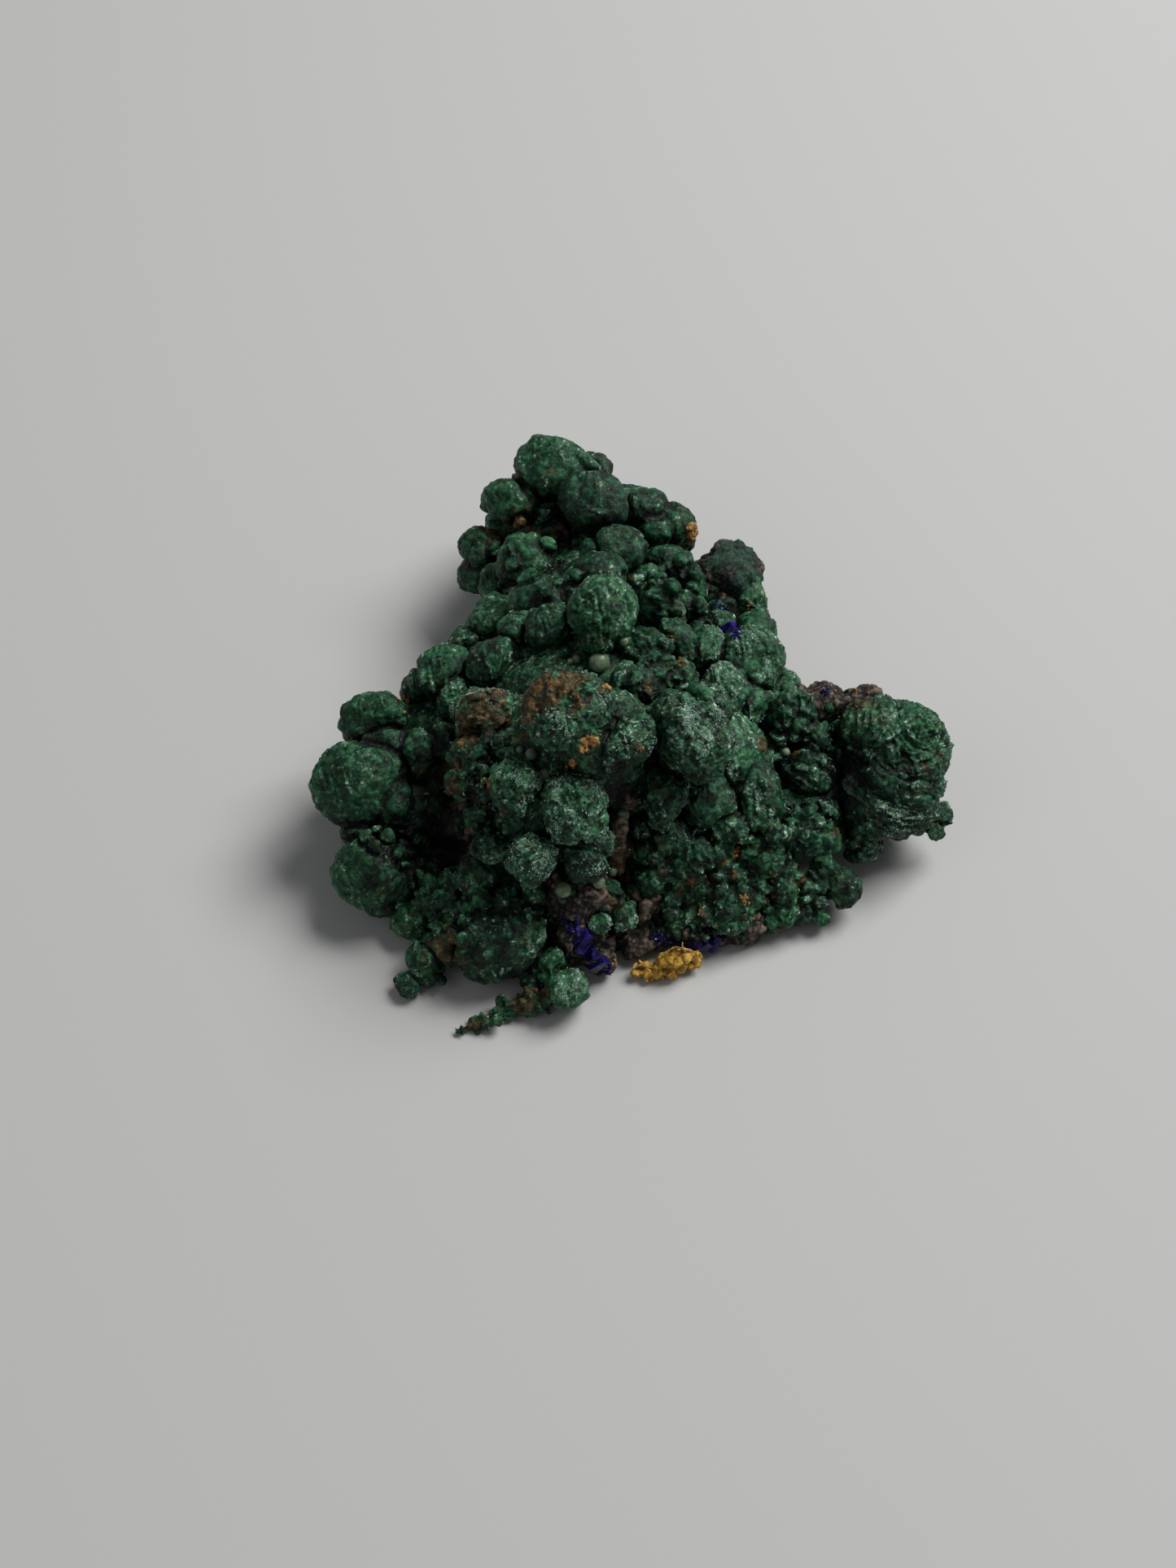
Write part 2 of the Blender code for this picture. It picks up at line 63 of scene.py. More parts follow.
# Lumps: across and down in the picture's pixels, height and radius in millimetres.
LUMPS = {
    "crown": (
        (690, 880, 22.0, 4.0), (710, 853, 22.0, 2.9), (722, 888, 22.4, 4.1),
        (758, 908, 21.5, 3.2), (778, 911, 21.0, 2.0), (700, 922, 20.0, 2.4), (752, 884, 22.8, 1.8),
    ),
    "shoulder": (
        (848, 902, 18.5, 4.3), (872, 918, 17.5, 3.0), (825, 952, 15.0, 2.9),
        (820, 992, 13.0, 2.1), (870, 868, 16.5, 2.0), (822, 885, 17.5, 2.4),
    ),
    "knob": (
        (741, 752, 21.0, 3.1), (735, 785, 20.0, 2.3), (762, 776, 20.0, 1.4),
        (676, 776, 18.0, 2.4), (638, 780, 16.0, 2.1), (612, 815, 15.0, 2.8),
        (645, 812, 15.5, 1.5), (600, 768, 13.0, 1.8), (572, 792, 11.5, 1.8),
        (545, 832, 12.0, 3.5), (516, 846, 10.5, 2.1), (560, 858, 12.0, 2.2),
    ),
    "neck": (
        (795, 802, 17.5, 2.3), (790, 842, 17.0, 2.2), (832, 838, 16.0, 2.2),
        (832, 792, 15.5, 2.2), (866, 802, 14.0, 2.3), (770, 838, 18.5, 1.7),
        (912, 812, 12.0, 3.3), (890, 848, 13.0, 2.8), (935, 842, 10.5, 2.6),
        (960, 838, 9.0, 1.8), (918, 868, 11.0, 2.6),
    ),
    "peak": (
        (672, 582, 16.0, 3.7), (711, 592, 15.5, 3.0), (742, 617, 15.0, 3.0), (728, 582, 14.6, 2.2),
        (630, 619, 14.0, 3.0), (606, 613, 12.5, 1.7), (794, 633, 12.4, 2.7),
        (823, 650, 11.2, 2.8), (806, 655, 12.0, 2.0), (594, 676, 10.0, 2.4), (592, 706, 8.0, 2.5),
        (648, 695, 13.5, 3.0), (618, 718, 10.0, 2.4), (757, 674, 16.0, 3.4),
        (664, 742, 16.5, 2.9), (736, 708, 18.0, 2.6), (690, 655, 12.0, 2.2),
        (700, 735, 16.5, 2.2), (612, 752, 11.5, 2.0),
    ),
    "back_right": (
        (820, 698, 12.0, 2.4), (850, 722, 12.0, 1.8), (845, 748, 12.5, 1.8),
        (812, 745, 14.0, 2.3), (880, 768, 11.5, 1.7), (928, 778, 8.0, 2.2),
        (938, 798, 8.0, 1.9), (916, 736, 8.0, 2.2), (790, 715, 14.0, 1.8),
    ),
    "right_arm": (
        (975, 882, 11.0, 2.7), (1000, 905, 10.5, 1.8), (992, 952, 9.0, 2.8),
        (928, 975, 9.5, 3.4), (940, 1012, 8.5, 2.6), (872, 985, 11.0, 2.9),
        (896, 1015, 9.5, 2.1), (1012, 994, 7.5, 1.5), (985, 1016, 7.5, 2.1),
        (1010, 1030, 6.5, 1.8), (950, 925, 9.5, 1.6), (900, 955, 11.0, 2.2),
    ),
    "right_knob": (
        (1092, 925, 10.5, 4.7), (1118, 940, 9.8, 4.3), (1100, 985, 7.6, 3.3),
        (1082, 957, 10.6, 1.7), (1100, 966, 10.2, 1.8), (1120, 970, 9.8, 1.8), (1140, 964, 9.6, 1.6),
        (1052, 918, 12.2, 0.55), (1060, 923, 12.4, 0.70), (1068, 929, 12.4, 0.75), (1076, 935, 12.3, 0.75),
        (1084, 941, 12.1, 0.70), (1091, 946, 11.9, 0.55),
        (1054, 962, 8.5, 2.7), (1065, 898, 11.0, 2.8), (1114, 898, 10.0, 2.8),
        (1135, 985, 7.0, 2.5), (1070, 995, 7.0, 2.3), (1060, 1034, 4.6, 1.9),
        (1157, 1002, 5.2, 1.2), (1150, 1020, 4.4, 0.9), (1030, 930, 9.0, 1.7),
    ),
    "slope": (
        (830, 1030, 9.5, 1.89), (800, 1048, 8.5, 1.63), (850, 1058, 8.0, 1.81),
        (884, 1050, 7.5, 1.81), (912, 1040, 7.5, 1.72), (940, 1050, 6.5, 1.89),
        (965, 1062, 5.5, 1.63), (925, 1082, 5.0, 1.72), (886, 1085, 5.5, 1.72),
        (830, 1078, 6.5, 1.72), (796, 1078, 6.5, 1.38), (786, 1098, 5.5, 1.29),
        (850, 1100, 4.6, 1.63), (905, 1110, 4.0, 1.98), (880, 1125, 3.4, 1.63),
        (848, 1130, 3.0, 1.46), (822, 1130, 3.2, 1.29), (950, 1095, 3.8, 1.55),
        (975, 1108, 2.8, 1.29), (995, 1090, 3.8, 1.38), (1003, 1108, 2.6, 1.03),
        (1030, 1090, 3.2, 1.63), (1012, 1065, 4.8, 1.46), (925, 1130, 2.2, 1.38),
        (820, 1108, 4.4, 1.29), (792, 1020, 9.8, 1.38), (780, 988, 11.0, 1.2),
        (957, 1122, 2.4, 1.38), (984, 1124, 2.0, 1.2), (1006, 1126, 1.7, 0.95),
    ),
    "front": (
        (585, 930, 15.5, 2.8), (574, 962, 14.5, 2.2), (598, 988, 14.0, 1.6),
        (634, 964, 17.0, 3.2), (707, 984, 16.8, 3.2), (668, 1000, 15.5, 2.0),
        (586, 1006, 12.6, 1.8), (601, 1035, 11.4, 1.9), (652, 1048, 13.0, 2.8),
        (714, 1052, 12.6, 2.5), (684, 1040, 12.6, 1.6), (602, 880, 17.0, 3.1),
        (582, 872, 15.5, 2.2), (625, 915, 17.0, 2.0), (728, 1030, 13.8, 1.8),
        (690, 950, 16.5, 2.2),
    ),
    "left_lobes": (
        (438, 956, 9.5, 4.2), (455, 880, 11.5, 2.7), (487, 875, 11.5, 1.3),
        (519, 925, 10.5, 2.7), (545, 910, 11.5, 1.7), (472, 925, 10.0, 2.6),
        (482, 985, 8.5, 2.6), (458, 1060, 6.0, 3.5), (492, 1080, 5.0, 2.8),
        (468, 1100, 3.8, 2.6), (500, 1030, 6.0, 1.7), (443, 1016, 7.5, 1.9),
    ),
    "foot": (
        (585, 1082, 8.0, 2.2), (596, 1150, 4.6, 3.4), (644, 1146, 5.6, 2.7),
        (556, 1160, 3.2, 2.4), (524, 1186, 2.0, 1.9), (500, 1206, 1.3, 1.2),
        (548, 1112, 4.6, 2.2), (620, 1112, 6.8, 1.9), (655, 1104, 7.6, 1.2),
        (612, 1180, 3.0, 2.2), (700, 1216, 2.4, 2.2), (680, 1184, 3.2, 1.5),
        (664, 1228, 1.6, 1.2), (735, 1134, 6.0, 1.1), (654, 1204, 1.9, 1.1), (668, 1192, 2.6, 0.9),
        (765, 1127, 5.8, 1.5), (750, 1096, 7.4, 1.1), (560, 1085, 6.2, 1.8),
    ),
}

# Lumps whose outline shows clearly: outline in pixels, height of the middle, the way they
# face, how far they rise towards it and how far they reach back, in millimetres.
PILLOWS = {
    "crown": (
        (((640, 866), (648, 846), (672, 833), (700, 825), (726, 832), (748, 846), (762, 862), (766, 884),
          (760, 912), (746, 936), (726, 950), (704, 946), (684, 938), (668, 924), (652, 904), (641, 886)),
         22.5, (-0.05, -0.46, 0.89), 2.7, 3.4),
        (((742, 882), (760, 868), (777, 872), (792, 884), (805, 900), (809, 914), (798, 930), (778, 941),
          (758, 947), (736, 950), (724, 938), (728, 908)),
         21.6, (0.10, -0.52, 0.85), 2.3, 3.0),
    ),
    "shoulder": (
        (((801, 888), (806, 868), (824, 859), (850, 862), (874, 868), (891, 882), (898, 906), (896, 932),
          (885, 952), (866, 963), (848, 960), (838, 948), (824, 940), (810, 926), (802, 908)),
         19.0, (0.15, -0.55, 0.82), 3.3, 4.2),
        (((790, 952), (800, 937), (820, 932), (838, 944), (846, 965), (842, 990), (829, 1011), (815, 1021),
          (803, 1010), (794, 984)),
         14.0, (-0.05, -0.7, 0.71), 2.0, 2.8),
    ),
    "peak": (
        (((627, 578), (632, 558), (648, 543), (668, 535), (700, 543), (733, 563), (747, 584), (745, 604),
          (722, 616), (690, 618), (660, 612), (638, 602)),
         16.2, (-0.1, -0.55, 0.83), 3.0, 3.4),
        (((684, 618), (692, 592), (715, 580), (745, 584), (768, 602), (775, 624), (768, 646), (745, 658),
          (715, 656), (694, 642)),
         16.4, (0.1, -0.62, 0.78), 2.6, 3.0),
        (((592, 612), (598, 594), (615, 585), (640, 586), (660, 598), (668, 618), (660, 638), (640, 648),
          (614, 645), (598, 632)),
         14.2, (-0.2, -0.6, 0.77), 2.4, 2.8),
        (((730, 672), (738, 650), (758, 642), (780, 650), (792, 670), (788, 692), (768, 704), (746, 700),
          (733, 688)),
         16.0, (0.0, -0.6, 0.8), 2.2, 2.8),
    ),
    "knob": (
        (((698, 758), (701, 735), (713, 719), (735, 711), (760, 715), (777, 732), (783, 756), (780, 777),
          (768, 793), (748, 797), (724, 793), (706, 781)),
         21.0, (0.0, -0.62, 0.78), 2.7, 3.2),
        (((506, 842), (512, 815), (528, 797), (550, 790), (574, 798), (588, 818), (588, 845), (574, 864),
          (548, 872), (522, 866)),
         12.0, (-0.25, -0.66, 0.7), 2.7, 3.0),
    ),
    "neck": (
        (((868, 822), (874, 796), (892, 778), (918, 772), (942, 780), (958, 802), (960, 830), (946, 856),
          (920, 868), (892, 862), (874, 846)),
         12.0, (0.2, -0.6, 0.77), 2.8, 3.2),
    ),
    "right_arm": (
        (((897, 962), (905, 938), (925, 926), (946, 936), (961, 962), (967, 992), (962, 1022), (948, 1042),
          (928, 1046), (911, 1030), (901, 1000)),
         9.4, (0.1, -0.72, 0.69), 2.5, 2.8),
    ),
    "right_knob": (
        (((1030, 880), (1046, 865), (1072, 858), (1099, 859), (1123, 867), (1145, 881), (1159, 896),
          (1168, 918), (1167, 944), (1157, 962), (1134, 970), (1108, 974), (1086, 964), (1064, 948),
          (1048, 930), (1040, 912), (1032, 896)),
         10.8, (0.12, -0.52, 0.84), 3.6, 4.2),
        (((1026, 970), (1032, 950), (1050, 930), (1080, 926), (1112, 936), (1142, 944), (1158, 962),
          (1156, 986), (1150, 1006), (1134, 1020), (1113, 1027), (1090, 1025), (1064, 1017), (1043, 1011),
          (1031, 993)),
         7.4, (0.05, -0.74, 0.67), 3.5, 4.0),
    ),
    "slope": (
        (((907, 1062), (915, 1046), (935, 1039), (955, 1043), (969, 1059), (963, 1076), (940, 1083),
          (918, 1078)),
         6.9, (0.0, -0.70, 0.71), 1.7, 2.0),
        (((1016, 1090), (1022, 1072), (1036, 1065), (1050, 1075), (1056, 1094), (1048, 1111), (1030, 1114),
          (1018, 1104)),
         3.4, (0.2, -0.66, 0.72), 1.6, 1.8),
        (((861, 1112), (872, 1094), (895, 1085), (920, 1091), (937, 1110), (931, 1132), (912, 1145),
          (885, 1147), (866, 1135)),
         3.9, (0.0, -0.74, 0.67), 2.1, 2.2),
        (((774, 1082), (783, 1064), (800, 1057), (817, 1065), (823, 1086), (812, 1103), (792, 1107),
          (778, 1098)),
         6.5, (-0.1, -0.72, 0.69), 1.8, 2.0),
        (((815, 1132), (822, 1113), (836, 1107), (849, 1119), (849, 1143), (834, 1154), (820, 1149)),
         3.1, (-0.1, -0.76, 0.64), 1.4, 1.6),
        (((937, 1092), (946, 1076), (962, 1069), (978, 1081), (979, 1100), (962, 1113), (945, 1109)),
         4.7, (0.1, -0.72, 0.69), 1.5, 1.7),
        (((829, 1050), (838, 1033), (855, 1027), (873, 1037), (877, 1056), (864, 1071), (844, 1071),
          (832, 1062)),
         8.5, (0.0, -0.68, 0.73), 1.7, 2.0),
        (((976, 1092), (986, 1084), (1000, 1086), (1004, 1100), (994, 1111), (981, 1108)),
         3.6, (0.1, -0.70, 0.71), 1.1, 1.3),
    ),
    "left_lobes": (
        (((382, 960), (387, 935), (402, 916), (424, 907), (450, 910), (474, 915), (493, 934), (503, 960),
          (505, 985), (491, 1003), (466, 1012), (441, 1017), (417, 1013), (399, 1002), (387, 985)),
         9.4, (-0.25, -0.62, 0.74), 3.5, 3.8),
        (((420, 884), (424, 863), (438, 849), (458, 844), (478, 849), (492, 860), (502, 878), (502, 900),
          (490, 918), (462, 927), (434, 921), (422, 905)),
         10.8, (-0.2, -0.6, 0.77), 2.6, 2.8),
        (((456, 986), (462, 964), (480, 951), (499, 957), (510, 978), (507, 1002), (492, 1016), (470, 1015),
          (458, 1003)),
         9.2, (0.1, -0.68, 0.72), 2.2, 2.4),
        (((484, 918), (490, 899), (508, 891), (526, 896), (537, 914), (537, 938), (529, 956), (512, 966),
          (495, 958), (486, 940)),
         10.3, (0.0, -0.65, 0.76), 2.2, 2.8),
        (((409, 1062), (414, 1040), (430, 1027), (455, 1023), (481, 1030), (498, 1046), (506, 1072),
          (500, 1096), (480, 1112), (451, 1118), (427, 1108), (413, 1086)),
         5.4, (-0.2, -0.66, 0.72), 2.9, 3.2),
    ),
    "foot": (
        (((559, 1160), (567, 1132), (590, 1114), (622, 1106), (650, 1114), (667, 1138), (670, 1168),
          (660, 1190), (638, 1201), (608, 1208), (580, 1204), (564, 1186)),
         4.3, (-0.1, -0.6, 0.79), 2.7, 2.6),
        (((661, 1213), (668, 1200), (685, 1193), (706, 1192), (723, 1200), (731, 1214), (727, 1229),
          (712, 1238), (690, 1240), (669, 1235)),
         2.2, (0.0, -0.5, 0.87), 2.1, 1.8),
    ),
    "front": (
        (((602, 955), (612, 940), (632, 933), (652, 938), (662, 953), (664, 976), (658, 996), (646, 1010),
          (629, 1012), (612, 1002), (602, 986), (599, 969)),
         17.0, (-0.15, -0.68, 0.72), 2.5, 3.0),
        (((660, 986), (667, 966), (682, 956), (706, 954), (731, 957), (744, 972), (747, 996), (742, 1016),
          (733, 1027), (716, 1023), (700, 1029), (684, 1030), (667, 1018), (659, 1003)),
         16.8, (0.0, -0.66, 0.75), 2.6, 3.2),
        (((621, 1046), (628, 1028), (642, 1019), (660, 1020), (676, 1030), (686, 1048), (684, 1067),
          (673, 1079), (655, 1086), (637, 1084), (624, 1070)),
         13.0, (-0.1, -0.74, 0.67), 2.3, 2.6),
        (((686, 1046), (690, 1033), (705, 1028), (726, 1027), (742, 1034), (746, 1050), (743, 1068),
          (731, 1077), (712, 1081), (696, 1075), (687, 1062)),
         12.6, (0.05, -0.74, 0.67), 2.1, 2.4),
    ),
}

# How many small knobs each pillow of a part carries, and any other pillow or ball.
KNOBS_ON_PILLOW = {
    "crown": 46, "shoulder": 46, "front": 40, "right_knob": 34, "knob": 22, "foot": 30, "slope": 16,
}
KNOBS_ELSEWHERE = 14

# How far a pillow's rim lies inside its outline, because the noise pushes the skin out.
PILLOW_INSET = 0.27 * MM

# Balls smaller than this, in millimetres, stay whole to fill the crease between two pillows.
CREASE_BALLS = {"right_knob": 1.85, "crown": 1.85}

# The low ridge at the left foot: pixel, height and radius in millimetres.
TAIL = (
    (690, 1206, 1.7, 1.1), (672, 1222, 1.4, 1.15), (652, 1230, 1.3, 1.1), (630, 1239, 1.1, 1.05),
    (610, 1248, 0.9, 0.85), (590, 1257, 0.8, 0.8), (574, 1264, 0.65, 0.6), (561, 1271, 0.5, 0.45),
)
TAIL_BALLS = 130

# Lumps that the picture doesn't show: x, y, z and radius in millimetres from the aim point.
HIDDEN_LUMPS = {
    "back": (
        (-5.0, 41.0, 9.0, 3.2), (0.0, 41.2, 8.5, 3.0), (4.2, 38.5, 8.5, 3.0),
        (-8.0, 37.5, 7.5, 2.8), (-3.0, 41.0, 4.4, 3.0), (2.5, 39.5, 4.2, 2.8),
        (7.6, 35.0, 6.0, 2.7), (-9.0, 33.0, 4.6, 2.8), (7.5, 32.5, 3.4, 2.8),
        (-10.2, 26.5, 4.4, 2.7), (-1.0, 37.0, 8.0, 3.4),
    ),
    "back_right_low": (
        (12.0, 24.5, 4.2, 2.6), (15.5, 19.5, 4.6, 2.8), (17.5, 14.5, 5.0, 2.8),
        (20.5, 10.5, 5.5, 2.7), (27.0, 9.5, 7.4, 2.9), (30.5, 7.5, 6.0, 2.8),
        (24.0, 10.0, 3.6, 2.6), (31.0, 4.0, 4.4, 2.4), (12.0, 18.5, 10.0, 2.6),
        (17.0, 11.5, 9.0, 2.6), (7.0, 21.5, 13.0, 2.6),
    ),
    "back_left_low": (
        (-11.6, 19.8, 5.2, 2.9), (-15.0, 15.5, 6.8, 3.0), (-17.5, 12.0, 5.6, 2.8),
        (-13.5, 18.0, 3.2, 2.6), (-20.5, 8.5, 5.4, 2.8), (-23.0, 4.5, 4.6, 2.3),
        (-21.5, -1.0, 3.4, 2.1), (-16.5, -8.8, 2.2, 2.1), (-8.0, 19.5, 13.0, 2.5),
    ),
}

# What fills the mass behind the lumps: middle, then radii, in millimetres.
FILL = (
    ((-1.0, 2.0, 14.5), (8.0, 6.0, 7.0)), ((-4.5, -2.0, 11.0), (6.5, 5.0, 5.0)),
    ((0.0, 10.5, 11.0), (10.5, 8.0, 6.5)), ((-1.0, 24.0, 8.5), (8.5, 8.0, 6.0)),
    ((-1.0, 34.0, 8.5), (6.5, 5.5, 5.0)), ((10.0, 5.5, 8.5), (8.0, 7.0, 5.5)),
    ((11.0, -0.5, 5.0), (10.0, 6.0, 4.2)), ((13.0, 12.0, 6.5), (6.5, 7.5, 4.4)),
    ((19.0, 3.0, 5.5), (6.5, 5.0, 3.4)), ((27.5, 4.0, 6.5), (4.6, 4.4, 3.2)),
    ((-13.0, 9.5, 6.5), (7.0, 5.5, 4.5)), ((-18.5, 3.0, 5.0), (4.5, 6.5, 4.0)),
    ((-18.0, -4.0, 3.0), (4.0, 4.5, 2.4)), ((-9.0, -8.5, 3.4), (5.5, 5.0, 3.2)),
    ((9.5, 20.0, 6.0), (6.0, 6.5, 4.2)), ((-9.5, 16.5, 5.5), (5.5, 7.0, 4.2)),
    ((16.5, 10.0, 5.0), (5.0, 5.5, 3.4)),
)

# The rock under the lumps: middle from the aim point, then radii, in millimetres.
BASE = (
    ((1.0, 6.0, 2.4), (15.5, 13.5, 4.2)), ((0.0, 25.0, 2.6), (9.5, 11.5, 4.0)),
    ((22.0, 4.0, 2.4), (7.5, 4.5, 2.8)), ((-14.5, 3.0, 1.8), (6.5, 6.5, 2.6)),
    ((-9.5, -8.0, 1.4), (6.0, 5.0, 2.0)), ((8.5, -6.0, 1.4), (8.0, 3.2, 2.2)),
)
# The rock where it shows: pixel, height and radii in millimetres.
OUTCROPS = (
    ((712, 1098, 6.2), (3.1, 3.0, 4.6)), ((706, 1150, 3.0), (2.9, 2.6, 3.4)),
    ((734, 1176, 1.6), (2.2, 1.7, 2.0)), ((758, 1035, 9.0), (1.6, 2.6, 3.4)),
    ((764, 966, 13.4), (1.6, 2.6, 3.0)), ((895, 712, 8.5), (3.2, 3.2, 3.8)),
    ((880, 748, 5.4), (4.4, 5.0, 4.4)), ((1014, 862, 10.8), (3.1, 1.7, 1.7)),
    ((1050, 877, 8.2), (3.4, 2.6, 2.1)), ((1000, 900, 6.0), (5.0, 4.0, 4.0)),
    ((846, 1142, 1.6), (3.2, 1.9, 1.8)), ((900, 1132, 1.6), (3.4, 1.7, 1.7)),
    ((812, 1150, 1.5), (1.9, 1.6, 1.7)), ((948, 1128, 1.1), (2.4, 1.4, 1.3)),
    ((942, 880, 7.0), (3.0, 3.0, 3.4)), ((774, 1152, 1.2), (2.0, 1.9, 1.5)),
    ((790, 1120, 2.8), (2.2, 2.0, 2.6)), ((690, 1196, 0.9), (1.5, 1.2, 1.0)),
    ((660, 1196, 1.1), (1.7, 1.2, 1.2)),
)

# Round pale beads: pixel and radius in millimetres. They sit where the ray meets the surface.
BEADS = (
    (735, 815, 1.0), (742, 809, 0.62), (766, 787, 0.45), (708, 811, 0.42), (653, 927, 0.55),
    (670, 951, 0.58), (763, 1000, 0.64), (692, 1094, 0.74), (735, 1085, 0.6), (753, 1069, 0.52),
    (640, 922, 0.36), (965, 926, 0.42), (701, 814, 0.3),
)

# Rust stains: pixel, reach in millimetres and strength.
STAINS = (
    (655, 862, 2.1, 1.0), (672, 848, 1.9, 0.9), (700, 838, 1.8, 1.0), (648, 884, 1.3, 0.8),
    (712, 860, 1.2, 0.9), (742, 846, 0.6, 0.9), (704, 938, 0.6, 1.0), (722, 912, 0.9, 0.7),
    (596, 868, 1.8, 1.0), (586, 885, 1.6, 1.0), (612, 852, 1.6, 0.7), (576, 900, 1.2, 0.9),
    (552, 968, 1.1, 1.0), (556, 990, 1.0, 1.0), (549, 945, 1.0, 0.8), (566, 915, 0.9, 0.7),
    (595, 952, 0.8, 1.0), (598, 968, 0.8, 1.0), (616, 1002, 0.8, 1.0), (590, 990, 0.7, 0.7),
    (618, 1048, 0.8, 1.0), (617, 1060, 0.7, 1.0), (785, 918, 0.5, 0.8), (640, 648, 2.2, 1.0),
    (612, 652, 1.5, 0.9), (690, 655, 1.4, 0.8), (672, 582, 0.8, 0.7), (575, 1030, 1.0, 0.5),
    (905, 1050, 0.7, 1.0), (870, 1078, 0.7, 1.0), (940, 1105, 0.9, 0.9), (915, 1104, 0.6, 1.0),
    (950, 1070, 0.8, 0.9), (550, 1165, 2.2, 0.8), (860, 1120, 0.9, 0.8), (760, 1060, 1.6, 0.9),
    (935, 915, 1.0, 0.9), (980, 925, 0.9, 0.8), (1027, 1020, 0.7, 1.0), (755, 1110, 1.0, 0.7),
    (770, 1085, 0.9, 0.8), (496, 862, 0.8, 1.0), (404, 1000, 0.9, 0.8), (420, 1020, 0.7, 0.6),
    (455, 905, 0.5, 0.8), (505, 955, 0.8, 0.9), (520, 952, 0.8, 0.7), (822, 785, 0.6, 0.9),
    (838, 815, 0.6, 1.0), (795, 845, 0.8, 0.8), (774, 712, 0.7, 0.8), (600, 1238, 1.4, 0.9),
    (640, 1232, 1.6, 0.8), (729, 1218, 0.5, 1.0), (665, 1222, 1.0, 0.8), (580, 1260, 1.2, 0.7),
    (590, 860, 2.4, 0.75), (574, 888, 2.2, 0.8), (1161, 928, 0.9, 0.55), (1150, 898, 1.0, 0.45),
    (1142, 946, 1.0, 0.6), (1085, 864, 1.6, 0.6), (1060, 868, 1.4, 0.7), (640, 905, 0.9, 0.6),
    (530, 1000, 2.0, 0.5), (560, 940, 1.0, 0.8), (470, 1090, 1.2, 0.5), (845, 1085, 0.9, 0.8),
    (900, 1075, 0.7, 0.9), (880, 1100, 0.6, 0.8), (960, 1100, 0.8, 0.7), (815, 1040, 0.7, 0.7),
    (835, 1095, 0.6, 0.8), (985, 1085, 0.7, 0.8), (1068, 888, 0.6, 0.8), (1138, 938, 0.5, 0.7),
    (812, 1070, 0.6, 0.8), (888, 1060, 0.6, 0.9), (664, 1000, 0.5, 0.6), (480, 1078, 0.7, 0.6),
    (482, 1022, 0.6, 0.9), (479, 1046, 0.5, 0.8), (610, 880, 2.0, 0.9), (460, 1040, 0.6, 0.5),
    (700, 1005, 0.5, 0.5),
)

# Frosted places: pixel, reach in millimetres and strength. The spots stronger than 0.9, on the
# right knob's crescent, also lift the painted shade there as a painted highlight.
FROSTS = (
    (742, 862, 1.5, 1.0), (690, 893, 1.7, 0.9), (672, 905, 1.2, 0.8), (715, 880, 1.2, 0.5),
    (765, 910, 1.0, 0.8), (800, 925, 0.8, 0.8), (735, 932, 0.8, 0.7), (640, 955, 1.3, 0.9),
    (650, 985, 1.2, 0.7), (716, 1000, 1.4, 0.8), (735, 975, 0.8, 0.6), (728, 1058, 1.3, 1.0),
    (722, 1035, 1.0, 0.7), (672, 1048, 1.5, 0.8), (660, 1070, 1.2, 0.6), (585, 960, 0.6, 0.9),
    (572, 985, 0.7, 0.6), (612, 1022, 0.6, 0.9), (850, 872, 1.8, 0.8), (880, 880, 1.6, 0.9),
    (868, 905, 0.9, 1.0), (898, 915, 1.0, 0.6), (872, 952, 1.0, 0.7), (820, 880, 1.0, 0.5),
    (545, 820, 1.6, 0.3), (553, 842, 1.0, 0.5), (612, 812, 1.6, 0.6), (430, 955, 1.8, 0.6),
    (448, 942, 1.0, 0.7), (475, 960, 1.5, 0.4), (470, 862, 0.8, 0.6), (518, 893, 0.5, 0.9),
    (440, 1080, 1.2, 0.6), (935, 960, 2.0, 0.6), (945, 990, 1.4, 0.7), (895, 840, 2.2, 0.3),
    (925, 815, 2.0, 0.35), (798, 808, 1.2, 0.5), (806, 850, 1.1, 0.6), (1068, 928, 0.8, 1.2),
    (1056, 920, 0.6, 1.2), (1078, 938, 0.6, 1.2), (1088, 945, 0.5, 1.1), (1098, 908, 0.9, 0.9),
    (1140, 992, 1.2, 0.9), (1105, 1000, 2.2, 0.8), (1070, 1005, 1.6, 0.6), (1118, 966, 1.3, 0.6),
    (1130, 975, 1.5, 0.5), (1100, 880, 1.5, 0.4), (1060, 1034, 1.2, 0.6), (741, 735, 1.5, 0.5),
    (760, 765, 1.0, 0.5), (700, 575, 1.5, 0.3), (757, 665, 1.5, 0.4), (672, 700, 1.4, 0.4),
    (636, 1140, 1.2, 0.5), (668, 1150, 0.9, 0.6), (600, 1160, 1.4, 0.4), (565, 1122, 0.7, 0.8),
    (660, 1106, 0.6, 0.9), (1008, 1110, 0.6, 1.0), (904, 1046, 0.6, 0.8), (960, 1060, 1.0, 0.6),
    (920, 1110, 1.2, 0.5), (880, 1120, 1.0, 0.5), (830, 1128, 0.9, 0.6), (868, 1060, 0.8, 0.7),
    (940, 1045, 1.0, 0.5), (1018, 1000, 1.0, 0.6), (985, 945, 1.4, 0.5), (640, 800, 1.2, 0.5),
    (700, 1216, 1.2, 0.4), (765, 1125, 0.9, 0.7), (790, 985, 0.8, 0.6),
)
